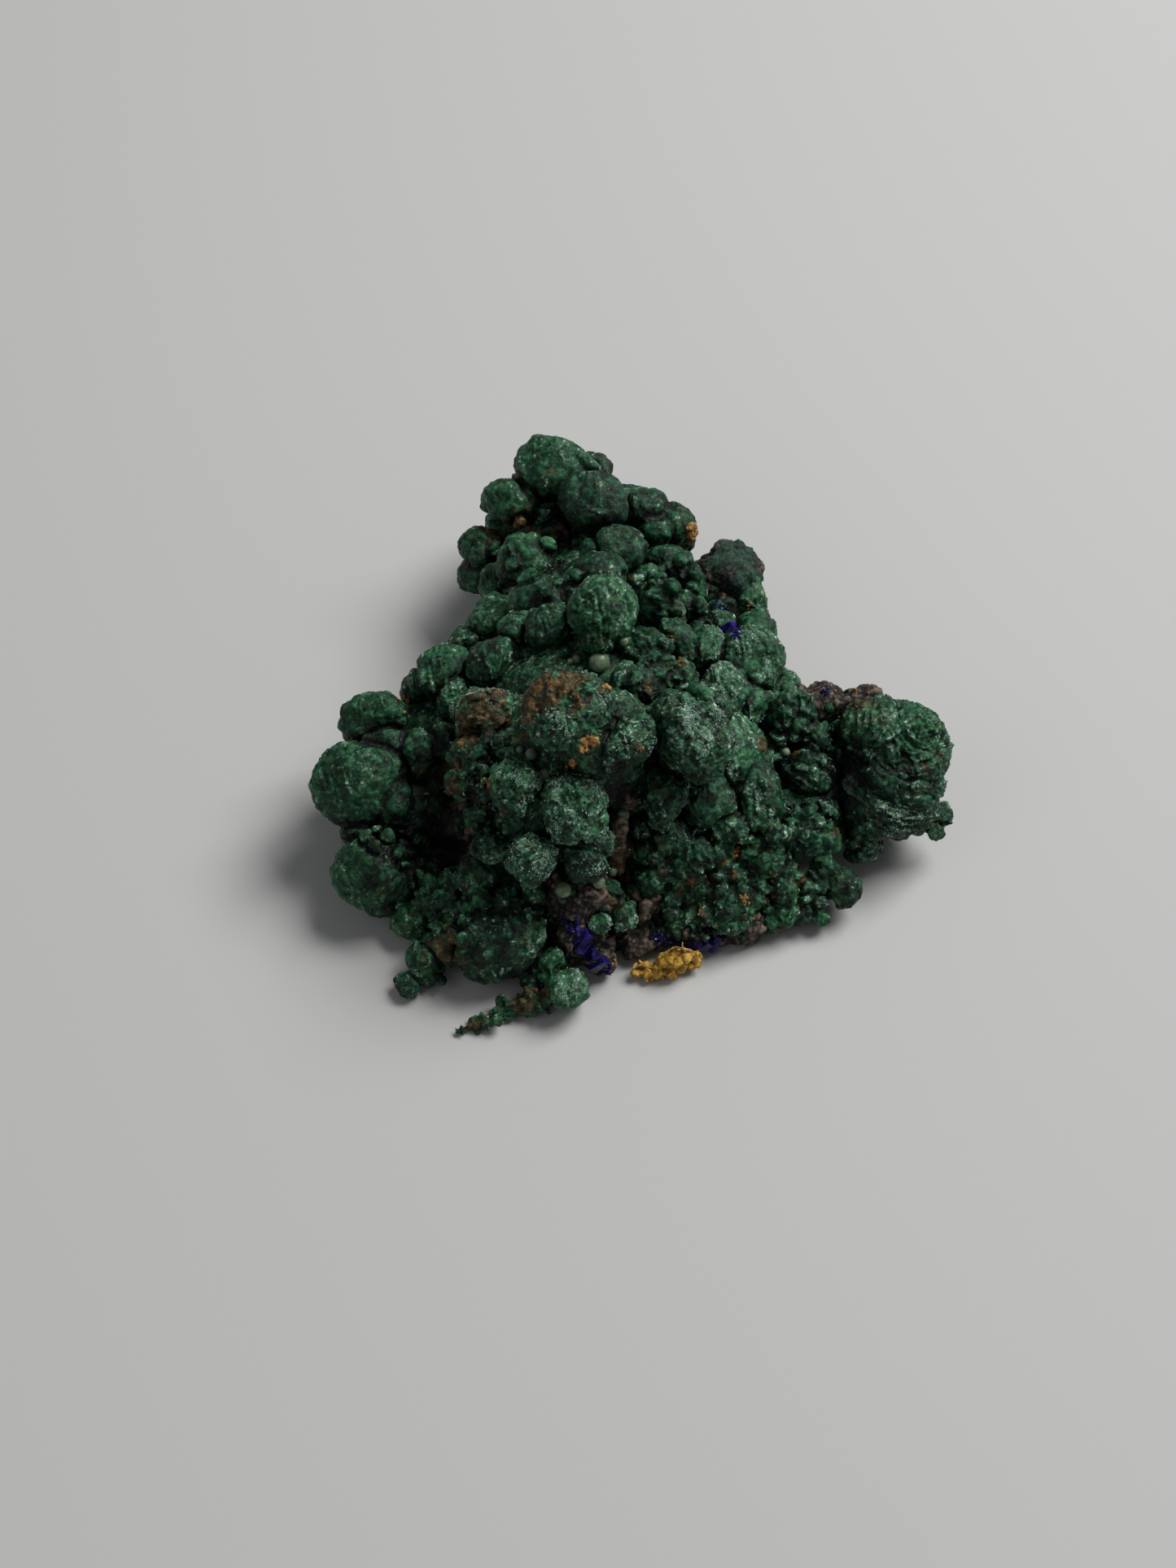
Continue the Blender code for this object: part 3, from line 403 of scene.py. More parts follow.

# Spots of painted shade, where the skin is painted dark as in deep shadow: pixel, reach in
# millimetres and strength.
PAINTED_SHADE_SPOTS = (
    (532, 1010, 2.8, 1.0), (518, 985, 1.8, 0.9), (548, 1045, 2.0, 0.9), (764, 948, 1.3, 1.3),
    (757, 972, 1.4, 1.3), (750, 1000, 0.9, 0.9), (698, 640, 1.0, 0.9), (688, 704, 1.5, 0.9),
    (560, 900, 1.4, 0.7), (470, 1085, 2.8, 0.30), (1040, 856, 2.4, 0.45), (1030, 945, 1.6, 0.9),
    (1034, 985, 1.4, 0.7), (598, 872, 2.4, 0.42), (897, 712, 1.3, 0.8), (1030, 900, 1.0, 0.5),
    (790, 1115, 1.2, 0.7), (652, 1188, 0.9, 0.5), (700, 1216, 1.8, 0.25), (690, 940, 0.8, 0.6),
    (905, 985, 0.9, 0.6), (575, 1060, 1.5, 0.6), (612, 1095, 1.4, 0.6), (770, 1045, 1.2, 0.6),
    (640, 1100, 1.0, 0.5), (775, 905, 0.5, 0.4),
)

# Green crust on the rock: pixel, reach in millimetres and strength.
MOSSES = (
    (925, 725, 2.8, 1.2), (905, 680, 2.4, 1.2), (930, 760, 2.0, 1.1), (845, 735, 1.2, 0.8),
    (880, 690, 1.6, 0.9), (740, 1120, 1.0, 0.8), (655, 1120, 1.0, 0.8), (1075, 880, 1.5, 0.9),
    (690, 1180, 0.9, 0.8),
)

# Raised crumbs of iron ore: pixel, spread in millimetres, how many, and largest radius.
GOLD_CRUMBS = (
    (729, 908, 0.6, 12, 0.10), (704, 939, 0.3, 8, 0.13), (746, 845, 0.3, 8, 0.13),
    (789, 920, 0.2, 5, 0.11), (698, 838, 0.6, 10, 0.10), (595, 962, 0.2, 5, 0.13),
    (616, 1002, 0.3, 6, 0.13), (498, 861, 0.4, 10, 0.16), (847, 655, 0.3, 8, 0.2),
    (820, 785, 0.3, 5, 0.15), (838, 815, 0.3, 5, 0.15), (915, 1104, 0.3, 9, 0.17),
    (906, 1047, 0.3, 8, 0.16), (950, 1078, 0.3, 6, 0.16), (920, 750, 0.5, 10, 0.2),
    (1027, 1020, 0.35, 6, 0.18), (756, 1188, 0.3, 7, 0.2), (745, 1182, 0.3, 6, 0.2),
    (876, 1145, 0.5, 4, 0.12), (905, 1140, 0.6, 4, 0.12), (800, 1060, 0.4, 3, 0.12),
    (765, 1035, 0.5, 4, 0.13), (1040, 855, 0.9, 14, 0.16), (600, 1246, 0.6, 9, 0.16),
)

# Crusts of iron ore: pixel, half width, half height, how many grains and largest grain radius.
FLECKS = (
    (725, 911, 0.85, 0.42, 90, 0.19), (717, 921, 0.40, 0.32, 26, 0.16),
    (704, 938, 0.25, 0.45, 16, 0.15), (746, 845, 0.40, 0.22, 12, 0.22),
    (849, 654, 0.35, 0.75, 34, 0.36), (789, 920, 0.20, 0.20, 6, 0.16),
    (915, 1104, 0.35, 0.30, 10, 0.20), (905, 1048, 0.30, 0.35, 10, 0.20),
    (498, 861, 0.35, 0.25, 9, 0.20),
)

# Azurite crystals on the rock: pixel, spread in millimetres, how many, longest length.
BLUE_CRUSTS = (
    (704, 1137, 0.45, 46, 0.7), (718, 1153, 0.5, 60, 0.85), (730, 1170, 0.4, 22, 0.5),
    (746, 1192, 0.35, 24, 0.7), (808, 1153, 0.5, 34, 0.6), (825, 1160, 0.4, 18, 0.5),
    (855, 1165, 0.4, 20, 0.5), (878, 1158, 0.6, 34, 0.5), (903, 779, 0.36, 50, 0.6),
    (1016, 848, 0.35, 18, 0.5), (888, 745, 0.6, 26, 0.4), (776, 719, 0.25, 8, 0.4),
    (892, 715, 0.7, 14, 0.35), (694, 1125, 0.4, 10, 0.35),
)

# The finish of each part: the share of a ball kept on its inner side, how high its bumps,
# worms, ribs and folds stand and how wide its bumps are, in millimetres, then how much frost
# and how much painted shade is added (below 0 it paints the part lighter), and how crisp its
# mottling is.
FINISHES = {
    "crown": (0.60, 0.28, 0.12, 0.04, 0.00, 1.10, 0.05, -0.02, 1.00),
    "shoulder": (0.70, 0.24, 0.12, 0.10, 0.00, 1.20, 0.06, 0.00, 0.90),
    "knob": (0.80, 0.16, 0.08, 0.13, 0.00, 1.40, -0.03, 0.14, 0.60),
    "neck": (0.90, 0.16, 0.06, 0.12, 0.00, 1.50, 0.12, 0.00, 0.35),
    "peak": (0.90, 0.16, 0.05, 0.06, 0.00, 1.80, -0.17, 0.28, 0.22),
    "back_right": (0.90, 0.18, 0.07, 0.06, 0.00, 1.50, -0.04, 0.08, 0.40),
    "right_arm": (0.90, 0.16, 0.07, 0.15, 0.00, 1.50, 0.12, -0.03, 0.40),
    "right_knob": (0.80, 0.20, 0.08, 0.07, 0.46, 1.05, 0.02, 0.10, 0.60),
    "slope": (0.80, 0.20, 0.09, 0.06, 0.00, 1.10, 0.12, -0.20, 0.85),
    "front": (0.60, 0.24, 0.12, 0.06, 0.00, 1.10, 0.18, -0.22, 0.90),
    "left_lobes": (0.90, 0.22, 0.07, 0.07, 0.00, 1.60, -0.17, 0.33, 0.28),
    "foot": (0.90, 0.20, 0.09, 0.08, 0.00, 1.20, 0.10, -0.24, 0.60),
    "back": (0.90, 0.18, 0.08, 0.06, 0.00, 1.5, 0.04, 0.00, 0.40),
    "back_right_low": (0.90, 0.18, 0.08, 0.06, 0.00, 1.4, 0.04, 0.00, 0.40),
    "back_left_low": (0.90, 0.18, 0.08, 0.06, 0.00, 1.5, 0.04, 0.00, 0.40),
    "bed": (1.00, 0.24, 0.12, 0.00, 0.00, 1.2, 0.00, 0.00, 0.50),
}

# Where many small lumps are scattered: part, middle pixel, half width and half height in
# pixels, how many, and the least and largest radius in millimetres.
SMALL_LUMPS = (
    ("slope", 905, 1075, 125, 62, 100, 0.5, 1.2),
    ("slope", 820, 1090, 45, 50, 26, 0.4, 0.9),
    ("slope", 880, 1142, 85, 10, 40, 0.3, 0.65),
    ("neck", 815, 838, 45, 36, 44, 0.45, 0.95),
    ("right_arm", 990, 900, 45, 45, 34, 0.5, 1.1),
    ("right_arm", 975, 1015, 50, 30, 26, 0.5, 1.1),
    ("front", 590, 985, 35, 55, 60, 0.3, 0.8),
    ("knob", 590, 880, 30, 40, 30, 0.4, 0.8),
    ("back_right", 840, 725, 50, 55, 36, 0.6, 1.2),
    ("peak", 650, 680, 70, 50, 24, 0.6, 1.3),
    ("foot", 560, 1110, 50, 45, 50, 0.4, 1.0),
    ("foot", 600, 1200, 70, 40, 40, 0.4, 0.9),
    ("foot", 656, 1200, 18, 14, 12, 0.35, 0.8),
    ("foot", 670, 1110, 40, 25, 26, 0.3, 0.7),
    ("foot", 762, 1110, 18, 30, 16, 0.4, 0.8),
    ("left_lobes", 480, 1020, 35, 30, 14, 0.4, 0.8),
    ("left_lobes", 520, 1040, 26, 40, 20, 0.4, 0.9),
    ("right_knob", 1066, 1018, 38, 16, 14, 0.5, 1.0),
)

# Sizes of the small squares that the skins are remade from.
SKIN_GRAIN = 0.115 * MM
BED_GRAIN = 0.42 * MM
BASE_GRAIN = 0.34 * MM
OUTCROP_GRAIN = 0.18 * MM
FLECK_GRAIN = 0.06 * MM
OCHRE_GRAIN = 0.075 * MM
# How many times coarser the skin is on parts with broader forms or on the hidden side.
COARSER = {
    "knob": 1.15, "neck": 1.25, "peak": 1.45, "back_right": 1.4, "right_arm": 1.2, "slope": 1.08,
    "front": 1.08, "left_lobes": 1.25, "foot": 1.3,
    "back": 1.7, "back_right_low": 1.7, "back_left_low": 1.7,
}

# The ways that lumps grow: the crown's and the front's one way, the others away from CORE.
GROWTH_WAYS = {"crown": (0.0, -0.35, 0.94), "front": (-0.1, -0.75, 0.65)}
CORE = np.array((0.0, 12.0, 2.0)) * MM - ORIGIN
TOWARDS_EYE = -FORWARD
# What the right knob's folds lie round: pixel and height in millimetres.
FOLD_CENTRE = (1142, 896, 13.0)
# How often a surface is averaged to find its fine, middle and broad form.
FINE_ROUNDS, MIDDLE_ROUNDS, BROAD_ROUNDS = 4, 14, 60
# The least height of a skin's points over the floor.
LOWEST = 0.02 * MM
# The cells that crowding is measured in, and how far they go past the lumps.
GRID_CELL = 0.5 * MM
GRID_MARGIN = 8 * MM
# The rings and turns of big, plain and small balls, and the sides of a crystal.
BIG_BALL, BALL, SMALL_BALL = (30, 48), (15, 26), (8, 14)
SIDES = 6
# Frost grains: how many, the least frost that carries one, and the largest radius in millimetres.
FROST_GRAINS, FROST_START, FROST_RADIUS = 7000, 0.35, 0.075

# The ochre crust: pixel, height and radius in millimetres of its lumps, and the stops of its
# curled rims with the width of each rim.
OCHRE_LUMPS = (
    (783, 1194, 0.9, 0.75), (792, 1190, 1.0, 0.8), (801, 1196, 0.8, 0.8), (810, 1190, 1.4, 0.85),
    (818, 1182, 2.0, 0.95), (828, 1178, 2.3, 1.0), (838, 1176, 2.3, 1.0), (848, 1174, 2.0, 0.85),
    (824, 1192, 1.2, 0.8), (834, 1188, 1.3, 0.8), (844, 1183, 1.3, 0.7), (805, 1200, 0.6, 0.6),
    (855, 1177, 1.4, 0.5), (796, 1196, 0.7, 0.6),
)
OCHRE_RIMS = (
    (((806, 1184, 1.9), (813, 1176, 2.6), (822, 1169, 3.2), (832, 1165, 3.5), (842, 1167, 3.3),
      (850, 1173, 2.4), (857, 1178, 1.6)), 0.42),
    (((838, 1158, 4.2), (839, 1163, 3.9), (842, 1168, 3.4)), 0.22),
    (((780, 1190, 1.5), (790, 1186, 1.8), (798, 1190, 1.5), (806, 1188, 1.7)), 0.28),
    (((816, 1196, 1.2), (826, 1197, 1.0), (836, 1192, 1.3), (846, 1186, 1.4)), 0.26),
)
# How many small balls each ochre lump carries, and the points along a rim and its thickness.
OCHRE_KNOBS = 9
RIM_POINTS = 60
RIM_THICKNESS = 0.055 * MM

SENSOR_WIDTH = 36.0
FLOOR_HALF_WIDTH = 3


def seen_at(across, down, height):
    """Where the ray through each pixel is at its height in millimetres: eye + ray * share."""
    across, down, height = np.broadcast_arrays(*(np.asarray(v, float) for v in (across, down, height)))
    sideways = (across - PICTURE_CENTRE[0]) / PIXELS_PER_METRE
    raised = (PICTURE_CENTRE[1] - down) / PIXELS_PER_METRE
    rays = FORWARD * EYE_DISTANCE + sideways[..., None] * np.array((1.0, 0, 0)) + raised[..., None] * UPWARD
    return EYE + rays * ((height * MM - EYE[2]) / rays[..., 2])[..., None]


def unit(vectors):
    """Each vector over its own length."""
    return vectors / np.maximum(np.linalg.norm(vectors, axis=-1, keepdims=True), 1e-12)


def surface_at(trees, across, down):
    """Where the ray through each pixel first meets a surface, and the way it faces there."""
    rays = unit(seen_at(across, down, 0.0) - EYE)
    places, facings = [], []
    for ray in rays:
        best = (None, None, None, np.inf)
        for tree in trees:
            hit = tree.ray_cast(Vector(EYE), Vector(ray))
            if hit[0] is not None and hit[3] < best[3]:
                best = hit
        if best[0] is not None:
            places.append(best[0])
            facings.append(best[1])
    return np.array(places).reshape(-1, 3), np.array(facings).reshape(-1, 3)


def scattered_at(trees, across, down, span, count):
    """Hits of pixels scattered by a bell curve round a middle pixel."""
    return surface_at(trees, rng.normal(across, span, count), rng.normal(down, span, count))


def spread_at(trees, across, down, wide, high, count, scales=()):
    """Hits of pixels scattered evenly over an oval: middle + half width * root of share * way."""
    turn, out = rng.uniform(0, 2 * np.pi, count), np.sqrt(rng.uniform(0, 1, count))
    for scale in scales:
        out = out * scale
    return surface_at(trees, across + wide * out * np.cos(turn), down + high * out * np.sin(turn))


def lattice_value(cells, seed):
    """A number from 0 to 1 for each whole-numbered cell, its indices mixed by large odd factors."""
    x, y, z = (cells[..., axis].astype(np.uint32) for axis in range(3))
    mixed = x * np.uint32(374761393) + y * np.uint32(668265263) + z * np.uint32(2246822519)
    mixed = mixed + np.uint32(seed * 3266489917 % 2**32)
    mixed = (mixed ^ (mixed >> np.uint32(13))) * np.uint32(1274126177)
    mixed = (mixed ^ (mixed >> np.uint32(15))) * np.uint32(2654435761)
    return (mixed ^ (mixed >> np.uint32(16))).astype(np.float64) / 2**32


def soft_noise(points, size, seed):
    """Lattice values blended by the smooth step of the place within its cell, from -1 to 1."""
    scaled = points / size
    cells = np.floor(scaled).astype(np.int64)
    part = scaled - cells
    part = part * part * (3 - 2 * part)
    total = np.zeros(len(points))
    for corner in np.ndindex(2, 2, 2):
        weight = np.prod(np.where(corner, part, 1 - part), axis=1)
        total += weight * lattice_value(cells + np.array(corner), seed)
    return total * 2 - 1


def noise_vector(points, size, seed):
    """Soft noise along each of the three axes."""
    return np.stack([soft_noise(points, size, seed + step) for step in range(3)], axis=1)


def cell_noise(points, size, seed):
    """Distance to the nearest of one scattered point per cell, in cell sizes."""
    scaled = points / size
    cells = np.floor(scaled).astype(np.int64)
    nearest = np.full(len(points), 9.0)
    for step in np.ndindex(3, 3, 3):
        there = cells + np.array(step) - 1
        scatter = np.stack([lattice_value(there, seed + axis) for axis in range(3)], axis=1)
        nearest = np.minimum(nearest, np.linalg.norm(there + scatter - scaled, axis=1))
    return nearest


def domes(points, size, seed):
    """Rounded bumps with sharp valleys: the root of 1 less the squared cell distance."""
    near = cell_noise(points, size, seed)
    return np.sqrt(np.clip(1 - (near / 0.95) ** 2, 0, 1))


def worms(points, size, seed):
    """Winding ridges where soft noise passes through zero: 1 less 4 times its size."""
    return np.clip(1 - 4 * np.abs(soft_noise(points, size, seed)), 0, 1)


def mesh_from(name, points, faces):
    """A mesh from an array of points and an array of faces that all have as many corners."""
    data = bpy.data.meshes.new(name)
    data.vertices.add(len(points))
    data.vertices.foreach_set("co", np.ascontiguousarray(points, np.float32).ravel())
    data.loops.add(faces.size)
    data.loops.foreach_set("vertex_index", np.ascontiguousarray(faces, np.int32).ravel())
    data.polygons.add(len(faces))
    data.polygons.foreach_set("loop_start", np.arange(len(faces), dtype=np.int32) * faces.shape[1])
    data.update(calc_edges=True)
    return data


def new_piece(name, data, material, stands_for, smooth=True):
    """Puts a mesh into the scene as a piece that stands for a node and takes a slot's finish."""
    piece = bpy.data.objects.new(name, data)
    bpy.context.scene.collection.objects.link(piece)
    data.materials.append(material)
    data.polygons.foreach_set("use_smooth", np.full(len(data.polygons), smooth))
    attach(piece, "root")
    if stands_for:
        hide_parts(stands_for)
    return piece


def small_pieces(name, shapes, material, stands_for, smooth=False):
    """Many small shapes as one piece."""
    return new_piece(name, mesh_from(name, *joined(*shapes)), material, stands_for, smooth)


def ball_pattern(rings, turns):
    """Directions over a sphere from tilt and turn, with a point at each pole, and its triangles."""
    tilt = np.linspace(0, np.pi, rings + 2)[1:-1, None]
    turn = np.arange(turns)[None] * 2 * np.pi / turns
    body = np.stack(
        [np.sin(tilt) * np.cos(turn), np.sin(tilt) * np.sin(turn), np.cos(tilt) + 0 * turn], axis=-1
    ).reshape(-1, 3)
    directions = np.concatenate([body, [[0, 0, 1.0], [0, 0, -1.0]]])
    ring, step = np.meshgrid(np.arange(rings - 1), np.arange(turns), indexing="ij")
    a = ring * turns + step
    b = ring * turns + (step + 1) % turns
    c, d = a + turns, b + turns
    sides = np.concatenate([np.stack([a, c, b], -1).reshape(-1, 3), np.stack([b, c, d], -1).reshape(-1, 3)])
    step = np.arange(turns)
    after = (step + 1) % turns
    top = np.stack([np.full(turns, rings * turns), step, after], -1)
    last = (rings - 1) * turns
    bottom = np.stack([np.full(turns, rings * turns + 1), last + after, last + step], -1)
    return directions, np.concatenate([sides, top, bottom])


def balls(middles, radii, wobble, seed, rings=BALL[0], turns=BALL[1], axes=None, cap=1.0):
    """Balls that swell by noise: middle + direction * radii * swell, pressed flat on the inner side."""
    directions, triangles = ball_pattern(rings, turns)
    count = len(middles)
    shifts = np.arange(count)[:, None, None] * np.array((7.3, 3.1, 5.7))
    swell = 1 + wobble * soft_noise((directions * 1.4 + shifts).reshape(-1, 3), 1.0, seed)
    swell = swell.reshape(count, len(directions))
    offsets = directions * radii[:, None] * swell[..., None]
    if axes is not None:
        along = np.einsum("ijk,ik->ij", offsets, axes)
        offsets -= (np.minimum(along, 0) * (1 - cap))[..., None] * axes[:, None]
    faces = triangles + (np.arange(count) * len(directions))[:, None, None]
    return (middles[:, None] + offsets).reshape(-1, 3), faces.reshape(-1, 3)


def on_plane(across, down, middle, facing):
    """Where the ray through each pixel meets the plane through a middle: eye + ray * share."""
    rays = seen_at(across, down, 0.0) - EYE
    return EYE + rays * (((middle - EYE) @ facing) / (rays @ facing))[:, None]


def pillow(outline, height, facing, dome, under, rings=31, turns=96):
    """A lump with a given outline that faces one way, its middle, and its mean radius.

    A point is middle + (rim - middle) * sin(tilt)**0.75 + facing * rise * cos(tilt)**0.75,
    where rise is dome on the outer side and under on the inner one.
    """
    stops = np.array(outline, float)
    area = np.cross(stops, np.roll(stops, -1, axis=0)).sum()
    stops = stops[::-1] if area > 0 else stops
    steps, spans = turns * 4, len(stops) + 2
    rim = smooth_path(np.concatenate([stops, stops[:3]]), steps)
    once_round = np.linspace(steps / spans, steps * (len(stops) + 1) / spans, turns, endpoint=False)
    rim = rim[once_round.astype(int)]
    middle = seen_at(rim[:, 0].mean(), rim[:, 1].mean(), height)
    rim = on_plane(rim[:, 0], rim[:, 1], middle, facing) - middle
    rim = middle + rim * (1 - PILLOW_INSET / np.linalg.norm(rim, axis=1).mean())
    tilt = np.linspace(0, np.pi, rings + 2)[1:-1, None, None]
    rise = np.where(np.cos(tilt) > 0, dome, under) * np.sign(np.cos(tilt)) * np.abs(np.cos(tilt)) ** 0.75
    body = middle + (rim - middle)[None] * np.sin(tilt) ** 0.75 + facing * rise * MM
    poles = [middle + facing * dome * MM, middle - facing * under * MM]
    points = np.concatenate([body.reshape(-1, 3), poles])
    return (points, ball_pattern(rings, turns)[1]), middle, np.linalg.norm(rim - middle, axis=1).mean()


def knobbed(middles, radii, axes, share, count):
    """Small balls over the outer side of each ball: middle + direction * (radius - 0.75 small radius)."""
    ways = rng.normal(size=(len(middles), count, 3))
    ways /= np.linalg.norm(ways, axis=2, keepdims=True)
    inward = np.einsum("ijk,ik->ij", ways, axes) < -0.2
    ways = np.where(inward[..., None], -ways, ways)
    small = rng.uniform(0.55, 1.3, (len(middles), count)) * share * radii[:, None]
    place = middles[:, None] + ways * (radii[:, None] - small * 0.75)[..., None]
    return place.reshape(-1, 3), small.reshape(-1)


def three(radii):
    """The same radius along each of the three axes."""
    return np.repeat(np.asarray(radii)[:, None], 3, axis=1)


def ellipsoids(table, from_pixels):
    """The middles and radii of a table's ellipsoids, in metres."""
    table = np.array([[*place, *radii] for place, radii in table])
    middles = seen_at(*table[:, :3].T) if from_pixels else table[:, :3] * MM - ORIGIN
    return middles, table[:, 3:] * MM


def joined(*shapes):
    """Several (points, faces) made one, each one's faces counted on from the points before it."""
    starts = np.cumsum([0] + [len(points) for points, _ in shapes])
    return (
        np.concatenate([points for points, _ in shapes]),
        np.concatenate([faces + start for (_, faces), start in zip(shapes, starts)]),
    )


def skin_of(name, points, faces, grain):
    """The overlapping balls remade as one closed skin of small squares."""
    data = mesh_from(name, points, faces)
    piece = bpy.data.objects.new(name, data)
    bpy.context.scene.collection.objects.link(piece)
    modifier = piece.modifiers.new("one_skin", "REMESH")
    modifier.mode = "VOXEL"
    modifier.voxel_size = grain
    graph = bpy.context.evaluated_depsgraph_get()
    made = bpy.data.meshes.new_from_object(piece.evaluated_get(graph))
    bpy.data.objects.remove(piece)
    bpy.data.meshes.remove(data)
    made.name = name
    return made


def above(points, least=0.0):
    """The points with none lower than the least height."""
    points[:, 2] = np.maximum(points[:, 2], least)
    return points


def read_mesh(data):
    """A mesh's points, the ways they face, and its edges."""
    columns = []
    for rows, key, width, kind in (
        (data.vertices, "co", 3, np.float32), (data.vertex_normals, "vector", 3, np.float32),
        (data.edges, "vertices", 2, np.int32),
    ):
        values = np.empty(len(rows) * width, kind)
        rows.foreach_get(key, values)
        columns.append(values.reshape(-1, width))
    points, facing, edges = columns
    return points.astype(float), facing.astype(float), edges


def raise_skin(data, points, facing, raised):
    """Moves each point by its rise along its facing, keeps it over the floor, and reads the mesh again."""
    points = above(points + facing * raised[:, None] * MM, LOWEST)
    data.vertices.foreach_set("co", np.ascontiguousarray(points, np.float32).ravel())
    data.update()
    return read_mesh(data)


def rise_over(points, smooth, facing, share=1.0):
    """How far each point stands out from a smoother form, in millimetres, times a share."""
    return np.einsum("ij,ij->i", points - smooth, facing) * share / MM


def write_values(data, **columns):
    """Writes a number per point under each name, for the material to read."""
    for name, values in columns.items():
        attribute = data.attributes.new(name, "FLOAT", "POINT")
        attribute.data.foreach_set("value", np.ascontiguousarray(values, np.float32))


def spread(values, edges, times):
    """Averages each value with its neighbours' along the edges, again and again."""
    count = len(values)
    ends = np.concatenate([edges[:, 0], edges[:, 1]])
    others = np.concatenate([edges[:, 1], edges[:, 0]])
    shared = np.maximum(np.bincount(ends, minlength=count), 1)[:, None]
    values = values.reshape(count, -1)
    for _ in range(times):
        sums = np.stack(
            [np.bincount(ends, weights=column[others], minlength=count) for column in values.T], axis=1
        )
        values = 0.4 * values + 0.6 * sums / shared
    return values


def bend(points):
    """Moves points by a broad and a narrower noise vector, so that no ball stays round."""
    return (
        points + noise_vector(points, 3.3 * MM, 101) * 0.4 * MM
        + noise_vector(points, 1.4 * MM, 111) * 0.22 * MM
    )


def place_on_lump(points, middles, radii, axes):
    """The lump that each point is nearest, how near the next lump is, and the place on the lump.

    The place is the height along the lump's axis and the way round that axis.
    """
    owner = np.zeros(len(points), int)
    least = np.full(len(points), np.inf)
    second = np.full(len(points), np.inf)
    for index, (middle, radius) in enumerate(zip(middles, radii)):
        away = np.linalg.norm(points - middle, axis=1) - radius
        second = np.minimum(second, np.maximum(away, least))
        owner = np.where(away < least, index, owner)
        least = np.minimum(least, away)
    offset = points - middles[owner]
    axis = axes[owner]
    along = np.einsum("ij,ij->i", offset, axis)
    return owner, second - least, along, unit(offset - along[:, None] * axis)


def filled_grid(middles, radii):
    """A grid of cells that is 1 inside any ellipsoid and 0 outside, then twice blurred."""
    low = (middles - radii).min(axis=0) - GRID_MARGIN
    high = (middles + radii).max(axis=0) + GRID_MARGIN
    shape = np.ceil((high - low) / GRID_CELL).astype(int)
    grid = np.zeros(shape, np.float32)
    for middle, radius in zip(middles, radii):
        start = np.maximum(((middle - radius - low) / GRID_CELL).astype(int), 0)
        stop = np.minimum(((middle + radius - low) / GRID_CELL).astype(int) + 2, shape)
        index = np.stack(np.meshgrid(*(np.arange(a, b) for a, b in zip(start, stop)), indexing="ij"), axis=-1)
        inside = (((index * GRID_CELL + low - middle) / radius) ** 2).sum(axis=-1) < 1
        block = grid[tuple(slice(a, b) for a, b in zip(start, stop))]
        np.maximum(block, inside, out=block)
    ground = int(-low[2] / GRID_CELL)
    grid[:, :, :ground] = 1
    blurred = []
    for reach in (2, 5):
        grid_now = grid
        for axis in range(3):
            for _ in range(2):
                total = np.zeros_like(grid_now)
                for step in range(-reach, reach + 1):
                    total += np.roll(grid_now, step, axis)
                grid_now = total / (2 * reach + 1)
        blurred.append(grid_now)
    return low, blurred


def crowding(points, facing, filled):
    """How much solid lies before the surface, from 0 in the open to 1 in a crevice."""
    low, blurred = filled
    total = np.zeros(len(points))
    for grid, reach, share in ((blurred[0], 1.1, 0.5), (blurred[1], 2.8, 0.6)):
        place = ((points + facing * reach * MM - low) / GRID_CELL).round().astype(int)
        place = np.clip(place, 0, np.array(grid.shape) - 1)
        total += share * grid[tuple(place.T)]
    return np.clip(total, 0, 1)


def near_spots(points, spots, depth_share=0.65):
    """The strongest of all spots at each point: strength * exp(-(distance / reach) squared).

    A share of the squared distance along the line of sight isn't counted.
    """
    value = np.zeros(len(points))
    for place, reach, strength in spots:
        offset = points - place
        away = (offset**2).sum(axis=1) - depth_share * (offset @ TOWARDS_EYE) ** 2
        value = np.maximum(value, strength * np.exp(-away / (reach * MM) ** 2))
    return value


